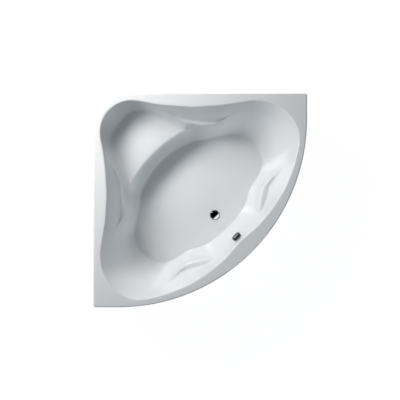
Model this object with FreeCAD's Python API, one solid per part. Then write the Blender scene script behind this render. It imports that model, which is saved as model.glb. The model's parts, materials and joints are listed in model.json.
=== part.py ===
"""Quarter-circle corner bath: a vacuum-formed acrylic shell with a corner seat, two armrests and
two backrests, on a steel frame with five levelling feet, with its curved front panel, cable-worked
waste and overflow, and trap.

The bath stands on z = 0, +Z is up and the origin is under the middle of its square plan. The
corner of the room is at -X, +Y; the curved front faces +X, -Y. The shell mirrors about the
diagonal between them, so most places are given as (across, along): the distance across the
diagonal and the distance along it from the corner of the room. Millimetres.
"""
import FreeCAD
import Part
import math
import os

Vector = FreeCAD.Vector
UP = Vector(0, 0, 1)

# ---- plan and levels
SIDE = 1400.0            # each side that stands against a wall
END_LENGTH = 164.0       # straight end beside each wall, before the front arc starts
CORNER_R = 14.0          # radius of the three plan corners
RIM_HEIGHT = 620.0       # top of the rim above the floor, feet screwed right in
END_DECK_W = 55.6        # narrowest deck at the two ends of the basin
FLOOR_FALL = 9.0         # fall of the basin floor from its edge to the waste
SEAT_DROP = 210.0        # rim down to the corner seat
ARM_DROP = 150.0         # rim down to the armrests
ARM_HOLLOW = 15.0        # how much lower the hollow behind an armrest's crest lies
ARM_BROW = 26.0          # wall halfway down to that hollow, outward of the hollow's foot
DENT_DROP = 185.0        # rim down to the elbow dents in the front wall
DENT_HOLLOW = 13.0       # how much lower such a dent lies than its lip

# ---- shell, backing and timber
ACRYLIC_T = 4.0
BACKING_T = 3.0
LIP_T = 5.0              # thickness of the turned-down edge of the rim
LIP_HEIGHT = 45.0
LIP_ROUND = 7.0          # rounding along the top of that edge
EDGE_GAP = 2.0           # from the lip's inside to what stands behind it
BASE_BOARD_T = 18.0
BASE_BOARD_INSET = 24.0  # board's edge inside the edge of the basin floor
SEAT_BOARD_T = 12.0
SEAT_BOARD_INSET = 60.0
BATTEN_T = 18.0
BATTEN_W = 30.0
BATTEN_START = 340.0     # from the room corner, along each wall
BATTEN_LENGTH = 590.0
FRONT_BATTEN_W = 24.0
FRONT_BATTEN_SPAN = 66.0     # degrees of the front arc

# ---- the basin's contours, drawn to any scale: angle from the direction of the room corner,
# ---- about the basin's pole, and radius from that pole, which lies on the diagonal
POLE_ALONG = 930.0
RIM_EDGE = {0: 783, 9: 757, 15: 703, 21: 647, 30: 599, 45: 569, 60: 597, 70: 656, 80: 746,
            90: 801, 97: 812, 105: 793, 115: 711, 130: 604, 150: 502, 165: 455, 175: 434, 180: 431}
SEAT_BACK = {0: 717, 9: 705, 16: 640, 22: 566, 28: 513, 34: 472, 40: 445}
SEAT_NOSE = {0: 387, 15: 396, 30: 417, 40: 437}
ARM_FOOT = {20: 634, 27: 582, 32: 545, 40: 510, 50: 497, 60: 512, 72: 572}
ARM_CREST = {20: 628, 27: 573, 37: 493, 52: 472, 63: 498, 72: 566}
ARM_CREST_LEVEL = {20: 0.5, 28: 0.8, 37: 1.0, 55: 1.0, 72: 1.1}
DENT_FOOT = {118: 572, 121: 556, 135: 514, 151: 468, 155: 455}
DENT_LIP = {118: 566, 121: 538, 135: 457, 151: 447, 155: 447}
DENT_LEVEL = {118: 1.2, 135: 1.0, 155: 0.7}
FLOOR_EDGE = {0: 345, 18: 352, 36: 375, 47: 393, 55: 402, 69: 454, 78: 516, 85: 547, 93: 560,
              103: 556, 112: 530, 123: 441, 131: 394, 142: 378, 153: 361, 166: 343, 180: 337}
COLUMNS = 96             # control columns round the basin
FLOOR_SHARES = (0.35, 0.6, 0.85)     # control rows of the floor, foot of the wall to the waste
DRAIN_RING = 10.0        # last control row outside the flat round the waste
SEAT_OUT = (36, 46)      # angles over which the seat runs out into the side wall
ARM_IN = (18, 30)        # and over which an armrest and a dent come in and run out
ARM_OUT = (62, 75)
DENT_IN = (116, 127)
DENT_OUT = (144, 157)
WALL_BACK = 0.5          # plain wall: its control points as shares of rim to foot
WALL_NOSE = 0.62
WALL_HOLLOW = 0.45       # and of rim to the first of those
WALL_CREST = 0.7
BELOW_BACK = 0.3         # under an armrest or dent: shares of crest to foot
BELOW_NOSE = 0.45
CORNER_REACH = (12, 8, 16, 12, 26)   # rounding either side of hollow, crest, back, nose, foot
BETWEEN = ((), (0.5,), (0.25, 0.5, 0.75), (0.35, 0.65))      # rows on the runs between those
RIM_ROLL = ((16, 0), (7, 0), (-1, 2.5), (-3.5, 11))  # (outward, down) of the rolled rim's rows
REACH_SHARE = 0.45       # most of a run that the rounding at one of its ends takes

# ---- frame and feet
RAIL_W = 25.0            # square steel tube
RAIL_T = 2.0
REAR_RAIL_ALONG = 720.0
REAR_RAIL_LENGTH = 640.0
MIDDLE_RAIL_ALONG = 1030.0
MIDDLE_RAIL_LENGTH = 980.0
FRONT_RAIL_ACROSS = -72.0    # beside the waste, and parallel to the diagonal
FRONT_RAIL_START = 1062.0
FRONT_RAIL_LENGTH = 178.0
FOOT_INSET = 40.0        # foot to the rail's end
SCREW_FROM_END = 14.0    # rail's end to its outer screw
LONG_RAIL_SCREW_COUNT = 3
FRONT_RAIL_SCREW_COUNT = 2
STEM_R = 6.0
STEM_PLAY = 0.06         # running clearance in the nut
STEM_TOP_GAP = 0.3       # a foot screwed right in meets the base board
STEM_HOLE_R = 7.0
NUT_ACROSS = 19.0
NUT_H = 10.0
PAD_R = 32.0
PAD_TOP_R = 13.0
PAD_H = 16.0
PAD_RIM_H = 5.0
STEM_SEAT = 6.0          # stem's lower end above the floor
SCREW_R = 2.0
SCREW_HEAD_R = 4.5
SCREW_HEAD_H = 2.0
SCREW_BITE = 12.0        # length in the timber
SCREW_PLAY = 0.3

# ---- wall brackets
BRACKET_W = 40.0
BRACKET_T = 3.0
BRACKET_FROM_END = 60.0  # middle of a bracket to the batten's end
BRACKET_DROP = 115.0     # rim down to the bracket's lower end
BRACKET_HOLE_R = 3.5
BRACKET_HOLE_PITCH = 30.0
BRACKET_HOLE_EDGE = 12.0

# ---- front panel
PANEL_T = 3.0
PANEL_GAP = 3.0          # floor to the panel
PANEL_TOP_GAP = 3.0      # panel to the backing under the rim
PANEL_END_GAP = 1.0
BLOCK_SIZE = (60.0, 40.0, 44.0)      # along the panel, behind it, and up
BLOCK_ANGLES = (-18.0, -45.0, -72.0)
PANEL_SCREW_Z = 27.0
CAP_R = 7.0
CAP_H = 3.0
CAP_EDGE_R = 1.2

# ---- waste
DRAIN_ALONG = 1137.0     # middle of the waste, from the room corner
DRAIN_FLAT_R = 48.0      # flat round the waste
WASTE_HOLE_R = 26.0
FLANGE_R = 36.0
FLANGE_T = 2.5
FLANGE_EDGE = 1.0        # chamfer round its top
SEAL_T = 1.5
SEAL_INSET = 1.0         # seal inside the edge of the flange or rosette over it
SEAL_REACH = 1.0         # seal past the highest of a curved wall, before it is cut to the wall
SPIGOT_R = 24.0
SPIGOT_T = 2.5
SPIGOT_LENGTH = 34.0
HUB_R = 8.0
HUB_H = 8.0
HUB_ARMS = 3
HUB_ARM_W = 4.0
PLUG_R = 31.5
PLUG_T = 5.0
PLUG_CROWN = 2.0
PLUG_EDGE = 1.5
PLUG_GAP = 0.3           # closed plug over the flange
PLUG_SEAL_T = 3.0
PLUG_SEAL_PLAY = 0.3
PLUG_ROD_R = 4.0
PLUG_ROD_LENGTH = 53.0
ROD_PLAY = 0.06
WASTE_BODY_R = 34.0
WASTE_WALL = 4.0
WASTE_FLANGE_R = 42.0
WASTE_FLANGE_T = 5.0
WASTE_BODY_H = 64.0
BOARD_HOLE_R = 48.0
BRANCH_R = 15.0
BRANCH_WALL = 2.5
BRANCH_END = 66.0        # from the middle of the waste
BRANCH_ANGLE = 45.0      # from the front, towards +across
OUTLET_R = 20.0
OUTLET_WALL = 2.5
OUTLET_LENGTH = 20.0
LEVER_W = 7.0
LEVER_T = 3.0
LEVER_ARM = 22.0         # lever's pin to the plug's rod
LEVER_TIP = 3.0          # past the middle of the rod
LEVER_TAIL = 9.0
LEVER_HUB_R = 4.0
LEVER_PIN_R = 1.5
LEVER_PIN_PLAY = 0.05
LEVER_GAP = 0.3

# ---- trap
TRAP_R = 46.0
TRAP_WALL = 3.0
TRAP_BOTTOM = 12.0       # floor of the room to the trap
TRAP_H = 74.0
TRAP_NECK = 10.0         # inlet tube above the trap's lid
TRAP_NUT_R = 27.0
TRAP_NUT_H = 18.0
TRAP_NUT_SIDES = 12
TRAP_DIP = 12.0          # floor of the trap to the end of its dip tube
TRAP_SOCKET_T = 3.5
TRAP_SOCKET_LENGTH = 30.0
OUTLET_PIPE_LENGTH = 150.0
PIPE_STEP = 1.0          # the pipe's end in the trap is thinner by this
PIPE_SHOULDER = 2.0      # trap's nut to the pipe's full width

# ---- overflow
OVERFLOW_DROP = 72.0     # rim down to the middle of the overflow
OVERFLOW_HOLE_R = 21.0
OVERFLOW_SEAL_T = 2.0
ROSETTE_R = 30.0
ROSETTE_T = 4.0
ROSETTE_TUBE_R = 19.0
ROSETTE_TUBE_T = 2.0
ROSETTE_TUBE_LENGTH = 26.0
ROSETTE_HUB_R = 7.0
ROSETTE_HUB_LENGTH = 10.0
ROSETTE_PORTS = 6
PORT_R = 3.5
PORT_CIRCLE_R = 12.5
KNOB_R = 31.0
KNOB_LENGTH = 18.5
KNOB_WALL = 2.5
KNOB_EDGE_R = 1.2
KNOB_GAP = 2.5           # slot round the knob that takes the water
SPINDLE_R = 4.0
SPINDLE_PLAY = 0.06
SPOOL_R = 11.0
SPOOL_T = 7.0
SPOOL_GAP = 2.0
ELBOW_R = 24.0
ELBOW_WALL = 3.0
ELBOW_CHAMBER = 27.0
ELBOW_FLANGE_R = 30.0
ELBOW_FLANGE_T = 4.0
ELBOW_DROP = 46.0        # overflow's axis down to the elbow's outlet

# ---- hose and cable
HOSE_R = 15.5
HOSE_BORE_R = 12.0
HOSE_NUT_R = 20.0
HOSE_NUT_H = 16.0
HOSE_NUT_SIDES = 12
HOSE_FIRST = 75.0        # straight out of the elbow
HOSE_LAST = 50.0         # straight into the waste
CABLE_R = 3.0
CABLE_STRAIGHT = 45.0    # straight out of each gland
GLAND_R = 6.0
GLAND_LENGTH = 16.0
# routes between their straight ends, from the overflow down: (across, along, above the waste)
HOSE_ROUTE = [(25, 1380, 125), (78, 1350, 32), (112, 1290, -34)]
CABLE_ROUTE = [(132, 1395, 262), (172, 1388, 150), (206, 1345, 45), (206, 1272, -35),
               (150, 1190, -76)]

# ---- worked out from the above
DRAWN_REACH = max(POLE_ALONG + r * (math.sin(math.radians(a)) - math.cos(math.radians(a)))
                  for a, r in RIM_EDGE.items()) / math.sqrt(2)    # along a wall, as drawn
PLAN = (SIDE - END_DECK_W) / DRAWN_REACH
HALF = SIDE / 2
FRONT_R = SIDE - END_LENGTH
ARC_X, ARC_Y = -HALF + END_LENGTH, HALF - END_LENGTH
TRAP_TOP = TRAP_BOTTOM + TRAP_H
WASTE_BODY_Z = TRAP_TOP + TRAP_NECK + SEAL_T + OUTLET_LENGTH
WASTE_BODY_TOP = WASTE_BODY_Z + WASTE_BODY_H
BACKING_Z = WASTE_BODY_TOP + SEAL_T
WASTE_Z = BACKING_Z + BACKING_T + ACRYLIC_T
BASIN_DEPTH = RIM_HEIGHT - WASTE_Z
BOARD_Z = BACKING_Z - BASE_BOARD_T
RAIL_Z = BOARD_Z - RAIL_W
DECK_UNDER = RIM_HEIGHT - ACRYLIC_T - BACKING_T
BATTEN_Z = DECK_UNDER - BATTEN_T
BEHIND_LIP = LIP_T + EDGE_GAP
PANEL_INSET = BEHIND_LIP + PANEL_T
WASTE_ALONG = DRAIN_ALONG * PLAN
FLOOR_ROWS = len(FLOOR_SHARES) + 3   # control rows of each column that lie in the basin floor
BRANCH_Z = WASTE_BODY_Z + WASTE_WALL + BRANCH_R
FLANGE_Z = WASTE_Z + SEAL_T
PLUG_Z = FLANGE_Z + FLANGE_T + PLUG_GAP
ROD_END_Z = PLUG_Z - PLUG_ROD_LENGTH
PIPE_END_R = OUTLET_R - PIPE_STEP


def along(curve, x):
    """Smooth value of a curve given as {place: value}, level at both ends."""
    xs = sorted(curve)
    if x <= xs[0]:
        return float(curve[xs[0]])
    if x >= xs[-1]:
        return float(curve[xs[-1]])
    steps = [(curve[b] - curve[a]) / (b - a) for a, b in zip(xs, xs[1:])]
    slopes = [0.0]
    for left, right in zip(steps, steps[1:]):
        slopes.append(0.0 if left * right <= 0 else 2 * left * right / (left + right))
    slopes.append(0.0)
    i = max(k for k, start in enumerate(xs) if start <= x)
    h = xs[i + 1] - xs[i]
    t = (x - xs[i]) / h
    return ((2 * t**3 - 3 * t**2 + 1) * curve[xs[i]] + (t**3 - 2 * t**2 + t) * h * slopes[i]
            + (3 * t**2 - 2 * t**3) * curve[xs[i + 1]] + (t**3 - t**2) * h * slopes[i + 1])


def ease(x, start, end):
    """0 before start, 1 after end, smooth between."""
    t = min(1.0, max(0.0, (x - start) / (end - start)))
    return t * t * (3 - 2 * t)


def mix(p, q, t):
    return tuple(a + (b - a) * t for a, b in zip(p, q))


def near(p, towards, distance):
    """The point a distance from p towards another, at most a set share of the way."""
    length = math.dist(p, towards)
    return mix(p, towards, min(REACH_SHARE, distance / length)) if length else p


def place(across, ahead, z=0.0):
    """Row frame position of a point given across and along the diagonal."""
    return Vector(-HALF + (ahead + across) / math.sqrt(2),
                  HALF - (ahead - across) / math.sqrt(2), z)


ACROSS = Vector(1, 1, 0) / math.sqrt(2)
AHEAD = Vector(1, -1, 0) / math.sqrt(2)


def save(name, shape, merge=True):
    """Writes one sub-part, its faces that lie in one surface merged, and prints its size."""
    if merge:
        shape = shape.removeSplitter()
    box = shape.optimalBoundingBox(False)
    print("%-20s solids %2d valid %s volume %11.0f  size %6.1f %6.1f %6.1f" % (
        name, len(shape.Solids), shape.isValid(), shape.Volume,
        box.XLength, box.YLength, box.ZLength))
    shape.exportStep("parts/" + name + ".step")


def group(shapes):
    return Part.Compound(shapes)


def rod(radius, start, end):
    """Round bar between two points."""
    return Part.makeCylinder(radius, (end - start).Length, start, end - start)


def pipe(radius, wall, start, end):
    return rod(radius, start, end).cut(rod(radius - wall, start, end))


def block(across, ahead, z, size):
    """Box square to the diagonal; (across, ahead, z) is the middle of its underside."""
    wide, deep, high = size
    corners = [place(across + sx * wide / 2, ahead + sy * deep / 2, z)
               for sx, sy in ((-1, -1), (1, -1), (1, 1), (-1, 1))]
    return Part.Face(Part.makePolygon(corners + corners[:1])).extrude(UP * high)


def prism(sides, radius, start, end):
    """Nut or grip with flat sides; radius is to the middle of a side."""
    axis = (end - start)
    first = axis.cross(Vector(0.3, 1, 0.2)).normalize()
    second = axis.cross(first).normalize()
    reach = radius / math.cos(math.pi / sides)
    corners = []
    for k in range(sides):
        turn = 2 * math.pi * k / sides
        corners.append(start + (first * math.cos(turn) + second * math.sin(turn)) * reach)
    return Part.Face(Part.makePolygon(corners + corners[:1])).extrude(axis)


# ---------------------------------------------------------------- basin surface

def contour(curve, angle):
    return along(curve, angle) * PLAN


def section(angle):
    """Control points (radius, drop) of the basin's wall on the ray at an angle, rim to floor."""
    rim = (contour(RIM_EDGE, angle), 0.0)
    foot = (contour(FLOOR_EDGE, angle), BASIN_DEPTH - FLOOR_FALL)
    seat = 1 - ease(angle, *SEAT_OUT)
    arm = ease(angle, *ARM_IN) * (1 - ease(angle, *ARM_OUT))
    dent = ease(angle, *DENT_IN) * (1 - ease(angle, *DENT_OUT))

    back = mix(mix(rim, foot, WALL_BACK), (contour(SEAT_BACK, angle), SEAT_DROP), seat)
    nose = mix(mix(rim, foot, WALL_NOSE), (contour(SEAT_NOSE, angle), SEAT_DROP), seat)
    arm_drop = ARM_DROP * along(ARM_CREST_LEVEL, angle)
    dent_drop = DENT_DROP * along(DENT_LEVEL, angle)
    hollow = mix(rim, back, WALL_HOLLOW)
    hollow = mix(hollow, (contour(ARM_FOOT, angle), arm_drop + ARM_HOLLOW), arm)
    hollow = mix(hollow, (contour(DENT_FOOT, angle), dent_drop + DENT_HOLLOW), dent)
    crest = mix(mix(rim, back, WALL_CREST), (contour(ARM_CREST, angle), arm_drop), arm)
    crest = mix(crest, (contour(DENT_LIP, angle), dent_drop), dent)
    below = max(arm * (1 - seat), dent)
    back = mix(back, mix(crest, foot, BELOW_BACK), below)
    nose = mix(nose, mix(crest, foot, BELOW_NOSE), below)

    points = [(rim[0] + outward, down) for outward, down in RIM_ROLL]
    brow = (contour(ARM_FOOT, angle) + ARM_BROW, arm_drop / 2)
    points.append(mix(mix(points[-1], hollow, 0.5), brow, arm))
    corners = [rim, hollow, crest, back, nose, foot]
    for before, here, after, reach, shares in zip(corners, corners[1:], corners[2:],
                                                  CORNER_REACH, BETWEEN):
        points.append(near(here, before, reach))
        points.append(near(here, after, reach))
        points += [mix(here, after, share) for share in shares]
    points.append(near(foot, nose, CORNER_REACH[-1]))
    points.append(foot)
    return points


def basin_net():
    """Columns of control points from the rim down to the flat round the waste."""
    columns = []
    for k in range(COLUMNS):
        angle = 360.0 * k / COLUMNS
        half = angle if angle <= 180 else 360 - angle
        side, front = math.sin(math.radians(angle)), -math.cos(math.radians(angle))
        column = [(radius * side, POLE_ALONG * PLAN + radius * front, RIM_HEIGHT - drop)
                  for radius, drop in section(half)]
        edge = column[-1]
        flat = (DRAIN_FLAT_R * side, WASTE_ALONG + DRAIN_FLAT_R * front, WASTE_Z)
        column.append(near(edge, flat, CORNER_REACH[-1]))
        column += [mix(edge, flat, share) for share in FLOOR_SHARES]
        column += [(flat[0] + DRAIN_RING * side, flat[1] + DRAIN_RING * front, flat[2]), flat]
        columns.append([place(*point) for point in column])
    return columns


def spline_skin(net):
    """Bicubic surface over a net of control points, closed round the basin."""
    count, depth = len(net), len(net[0])
    surface = Part.BSplineSurface()
    surface.buildFromPolesMultsKnots(
        net, [1] * (count + 1), [4] + [1] * (depth - 4) + [4],
        [float(k) for k in range(count + 1)], [float(k) for k in range(depth - 2)],
        True, False, 3, 3)
    return surface


def shifted(net, distance, floor_z=None):
    """The net moved square to its surface, away from the bathing space."""
    count = len(net)
    moved = []
    for k, column in enumerate(net):
        left, right = net[k - 1], net[(k + 1) % count]
        new = []
        for j, point in enumerate(column):
            normal = (right[j] - left[j]).cross(column[min(j + 1, len(column) - 1)]
                                                - column[max(j - 1, 0)])
            if j < 2 or j > len(column) - 3:
                normal = Vector(0, 0, -1)
            normal.normalize()
            new.append(point + normal * distance)
            if floor_z is not None and j >= len(column) - FLOOR_ROWS:
                new[-1].z = floor_z
        moved.append(new)
    return moved


# ---------------------------------------------------------------- plan outline

def outline(inset, z):
    """The plan of the rim, moved in by a distance, with its three rounded corners."""
    edge = HALF - inset
    r = max(CORNER_R - inset, 1.0)
    arc_r = FRONT_R - inset
    k = r * (1 - math.sqrt(0.5))
    edges = []

    def line(a, b):
        edges.append(Part.LineSegment(Vector(*a, z), Vector(*b, z)).toShape())

    def arc(a, m, b):
        edges.append(Part.Arc(Vector(*a, z), Vector(*m, z), Vector(*b, z)).toShape())

    line((-edge + r, edge), (edge - r, edge))
    arc((edge - r, edge), (edge - k, edge - k), (edge, edge - r))
    line((edge, edge - r), (edge, ARC_Y))
    mid = arc_r * math.sqrt(0.5)
    arc((edge, ARC_Y), (ARC_X + mid, ARC_Y - mid), (ARC_X, -edge))
    line((ARC_X, -edge), (-edge + r, -edge))
    arc((-edge + r, -edge), (-edge + k, -edge + k), (-edge, -edge + r))
    line((-edge, -edge + r), (-edge, edge - r))
    arc((-edge, edge - r), (-edge + k, edge - k), (-edge + r, edge))
    return Part.Wire(edges)


def ring_face(outer_wire, hole_wire):
    return Part.Face(outer_wire).cut(Part.Face(hole_wire)).Faces[0]


def rim_and_drain(surface):
    """The two boundary wires of a basin surface: at the rim and at the flat round the waste."""
    first, last = surface.bounds()[2:]
    return Part.Wire(surface.vIso(first).toShape()), Part.Wire(surface.vIso(last).toShape())


def walls(wire, z_end):
    return wire.extrude(UP * (z_end - wire.BoundBox.ZMin)).Faces


def solid_of(faces):
    shell = Part.Compound(faces)
    shell.sewShape()
    solid = Part.Solid(shell.Shells[0])
    if solid.Volume < 0:
        solid.reverse()
    return solid


NET = basin_net()
INNER = spline_skin(NET)
MIDDLE = spline_skin(shifted(NET, ACRYLIC_T))
OUTER = spline_skin(shifted(NET, ACRYLIC_T + BACKING_T, BACKING_Z))

os.makedirs("parts", exist_ok=True)


# ---------------------------------------------------------------- shell and backing

def rounded_lip(solid):
    """Rounds the outer top edge of the rim."""
    top = [edge for edge in solid.Edges
           if all(abs(vertex.Z - RIM_HEIGHT) < 0.01 for vertex in edge.Vertexes)
           and edge.Curve.TypeId in ("Part::GeomLine", "Part::GeomCircle")]
    return solid.makeFillet(LIP_ROUND, top)


def bath_shell():
    rim_in, drain_in = rim_and_drain(INNER)
    rim_out, drain_out = rim_and_drain(MIDDLE)
    deck = outline(0, RIM_HEIGHT)
    under = outline(LIP_T, RIM_HEIGHT - ACRYLIC_T)
    foot = RIM_HEIGHT - LIP_HEIGHT
    faces = [INNER.toShape(), MIDDLE.toShape(), ring_face(deck, rim_in), ring_face(under, rim_out),
             Part.Face(drain_in), Part.Face(drain_out), ring_face(outline(0, foot),
                                                                  outline(LIP_T, foot))]
    faces += walls(deck, foot) + walls(under, foot)
    return rounded_lip(solid_of(faces))


def backing():
    rim_in, drain_in = rim_and_drain(MIDDLE)
    rim_out, drain_out = rim_and_drain(OUTER)
    top = outline(BEHIND_LIP, RIM_HEIGHT - ACRYLIC_T)
    faces = [MIDDLE.toShape(), OUTER.toShape(), ring_face(top, rim_in),
             ring_face(outline(BEHIND_LIP, DECK_UNDER), rim_out),
             Part.Face(drain_in), Part.Face(drain_out)]
    faces += walls(top, DECK_UNDER)
    return solid_of(faces)


def wall_frame():
    """Point on the front wall at the overflow, and the direction from it into the bath."""
    guess = place(0, (POLE_ALONG + RIM_EDGE[180] - OVERFLOW_DROP * 0.2) * PLAN,
                  RIM_HEIGHT - OVERFLOW_DROP)
    u, v = INNER.parameter(guess)
    normal = INNER.normal(u, v)
    if normal.dot(AHEAD) > 0:
        normal = -normal
    normal = AHEAD * normal.dot(AHEAD) + UP * normal.z
    return INNER.value(u, v), normal.normalize()


WALL_POINT, WALL_OUT = wall_frame()


def on_wall(depth):
    """Point on the overflow's axis; depth is counted from the wall into the bath."""
    return WALL_POINT + WALL_OUT * depth


def waste_at(z, across=0.0, ahead=0.0):
    return place(across, WASTE_ALONG + ahead, z)


SKIN_T = ACRYLIC_T + BACKING_T
OVERFLOW_HOLE = rod(OVERFLOW_HOLE_R, on_wall(-3 * SKIN_T), on_wall(3 * SKIN_T))
WASTE_HOLE = rod(WASTE_HOLE_R, waste_at(BOARD_Z), waste_at(WASTE_Z + SKIN_T))
shell = bath_shell().cut(OVERFLOW_HOLE).cut(WASTE_HOLE)
skin = backing().cut(OVERFLOW_HOLE).cut(WASTE_HOLE)
save("bath_shell", shell, merge=False)
save("fibreglass_backing", skin, merge=False)


# ---------------------------------------------------------------- boards and battens

def contour_board(points, z, thickness):
    """Board with a smooth closed edge through points given as (across, ahead)."""
    curve = Part.BSplineCurve()
    curve.interpolate([place(*point, z) for point in points], PeriodicFlag=True)
    return Part.Face(Part.Wire(curve.toShape())).extrude(UP * thickness)


def on_ray(angle, radius):
    return (radius * math.sin(math.radians(angle)),
            POLE_ALONG * PLAN - radius * math.cos(math.radians(angle)))


def base_board():
    edge = [on_ray(angle, contour(FLOOR_EDGE, abs((angle + 180) % 360 - 180)) - BASE_BOARD_INSET)
            for angle in range(0, 360, 12)]
    board = contour_board(edge, BOARD_Z, BASE_BOARD_T)
    return board.cut(rod(BOARD_HOLE_R, waste_at(BOARD_Z), waste_at(BACKING_Z)))


def seat_board():
    """Board under the seat: the seat's flat, moved in all round."""
    back = [on_ray(angle, contour(SEAT_BACK, abs(angle)) - SEAT_BOARD_INSET)
            for angle in (-14, -7, 0, 7, 14)]
    front = [on_ray(angle, contour(SEAT_NOSE, abs(angle)) + SEAT_BOARD_INSET)
             for angle in (14, 0, -14)]
    z = RIM_HEIGHT - SEAT_DROP - SKIN_T - SEAT_BOARD_T
    corners = [place(*point, z) for point in back + front]
    return Part.Face(Part.makePolygon(corners + corners[:1])).extrude(UP * SEAT_BOARD_T)


def wall_box(side, start, length, depth, width, z, height):
    """Box beside a wall: side 0 is the wall at +Y, side 1 the wall at -X; start is counted from
    the room corner along the wall, depth from the wall into the room."""
    if side == 0:
        corner = Vector(-HALF + start, HALF - depth - width, z)
        return Part.makeBox(length, width, height, corner)
    corner = Vector(-HALF + depth, HALF - start - length, z)
    return Part.makeBox(width, length, height, corner)


def wall_point(side, start, depth, z):
    if side == 0:
        return Vector(-HALF + start, HALF - depth, z)
    return Vector(-HALF + depth, HALF - start, z)


BATTEN_DEPTH = BEHIND_LIP + BRACKET_T
BRACKET_PLACES = (BATTEN_START + BRACKET_FROM_END, BATTEN_START + BATTEN_LENGTH - BRACKET_FROM_END)


def bracket(side, middle):
    """Steel bracket: under the batten, down inside the lip, and back to the wall below it."""
    start = middle - BRACKET_W / 2
    lip_foot = RIM_HEIGHT - LIP_HEIGHT
    low = RIM_HEIGHT - BRACKET_DROP
    jog = lip_foot - BRACKET_T - EDGE_GAP
    top = wall_box(side, start, BRACKET_W, BEHIND_LIP, BATTEN_W + BRACKET_T, BATTEN_Z - BRACKET_T,
                   BRACKET_T)
    inner = wall_box(side, start, BRACKET_W, BEHIND_LIP, BRACKET_T, jog, BATTEN_Z - jog)
    step = wall_box(side, start, BRACKET_W, 0, BEHIND_LIP + BRACKET_T, jog, BRACKET_T)
    plate = wall_box(side, start, BRACKET_W, 0, BRACKET_T, low, jog + BRACKET_T - low)
    shape = top.fuse([inner, step, plate])
    for k in (0, 1):
        z = low + BRACKET_HOLE_EDGE + k * BRACKET_HOLE_PITCH
        shape = shape.cut(rod(BRACKET_HOLE_R, wall_point(side, middle, -1, z),
                              wall_point(side, middle, BRACKET_T + 1, z)))
    for spot in bracket_screw_places(side, middle):
        shape = shape.cut(rod(SCREW_R + SCREW_PLAY, spot - UP * BRACKET_T, spot))
    return shape


def bracket_screw_places(side, middle):
    """Where a bracket's two screws enter the batten, at its underside."""
    return [wall_point(side, middle + turn * BRACKET_W / 4, BATTEN_DEPTH + BATTEN_W / 2, BATTEN_Z)
            for turn in (-1, 1)]


def wood_screw(entry, axis, through):
    """Screw whose head lies a distance before its entry into the timber."""
    head = entry - axis * through
    return rod(SCREW_R, head, entry + axis * SCREW_BITE).fuse(
        rod(SCREW_HEAD_R, head - axis * SCREW_HEAD_H, head))


def bitten(timber, entries, axis):
    """The timber with the holes that its screws have cut."""
    for entry in entries:
        timber = timber.cut(rod(SCREW_R, entry, entry + axis * SCREW_BITE))
    return timber


save("seat_board", seat_board())
bracket_screws = []
for side, name in ((0, "rear"), (1, "left")):
    batten = wall_box(side, BATTEN_START, BATTEN_LENGTH, BATTEN_DEPTH, BATTEN_W, BATTEN_Z, BATTEN_T)
    for k, middle in enumerate(BRACKET_PLACES):
        spots = bracket_screw_places(side, middle)
        batten = bitten(batten, spots, UP)
        bracket_screws += [wood_screw(spot, UP, BRACKET_T) for spot in spots]
        save("wall_bracket_%s_%d" % (name, k + 1), bracket(side, middle))
    save("rim_batten_" + name, batten)
save("bracket_screws", group(bracket_screws))


def arc_band(outer_r, width, middle, span, z, height):
    """Band of the front arc, concentric with the rim, about a middle angle in degrees."""
    first, last = math.radians(middle - span / 2), math.radians(middle + span / 2)
    centre = Vector(ARC_X, ARC_Y, z)

    def at(radius, angle):
        return centre + Vector(radius * math.cos(angle), radius * math.sin(angle), 0)

    half = (first + last) / 2
    inner_r = outer_r - width
    edges = [Part.Arc(at(outer_r, first), at(outer_r, half), at(outer_r, last)).toShape(),
             Part.makeLine(at(outer_r, last), at(inner_r, last)),
             Part.Arc(at(inner_r, last), at(inner_r, half), at(inner_r, first)).toShape(),
             Part.makeLine(at(inner_r, first), at(outer_r, first))]
    return Part.Face(Part.Wire(edges)).extrude(UP * height)


save("front_batten", arc_band(FRONT_R - PANEL_INSET, FRONT_BATTEN_W, -45, FRONT_BATTEN_SPAN,
                              BATTEN_Z, BATTEN_T))


# ---------------------------------------------------------------- rails and feet

def rail(middle, direction, length):
    """Square tube under the base board, on its middle line."""
    start = middle - direction * (length / 2)
    wide = direction.cross(UP)

    def bar(width):
        corners = [start + wide * (sx * width / 2) + UP * (sz * width / 2 + RAIL_W / 2)
                   for sx, sz in ((-1, -1), (1, -1), (1, 1), (-1, 1))]
        return Part.Face(Part.makePolygon(corners + corners[:1])).extrude(direction * length)

    return bar(RAIL_W).cut(bar(RAIL_W - 2 * RAIL_T))


def rail_spots(name, inset, count=2):
    """Places on a rail's middle line, evenly spaced between its insets from both ends."""
    middle, direction, length = RAILS[name][:3]
    return [middle + direction * ((2 * k / (count - 1) - 1) * (length / 2 - inset))
            for k in range(count)]


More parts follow.
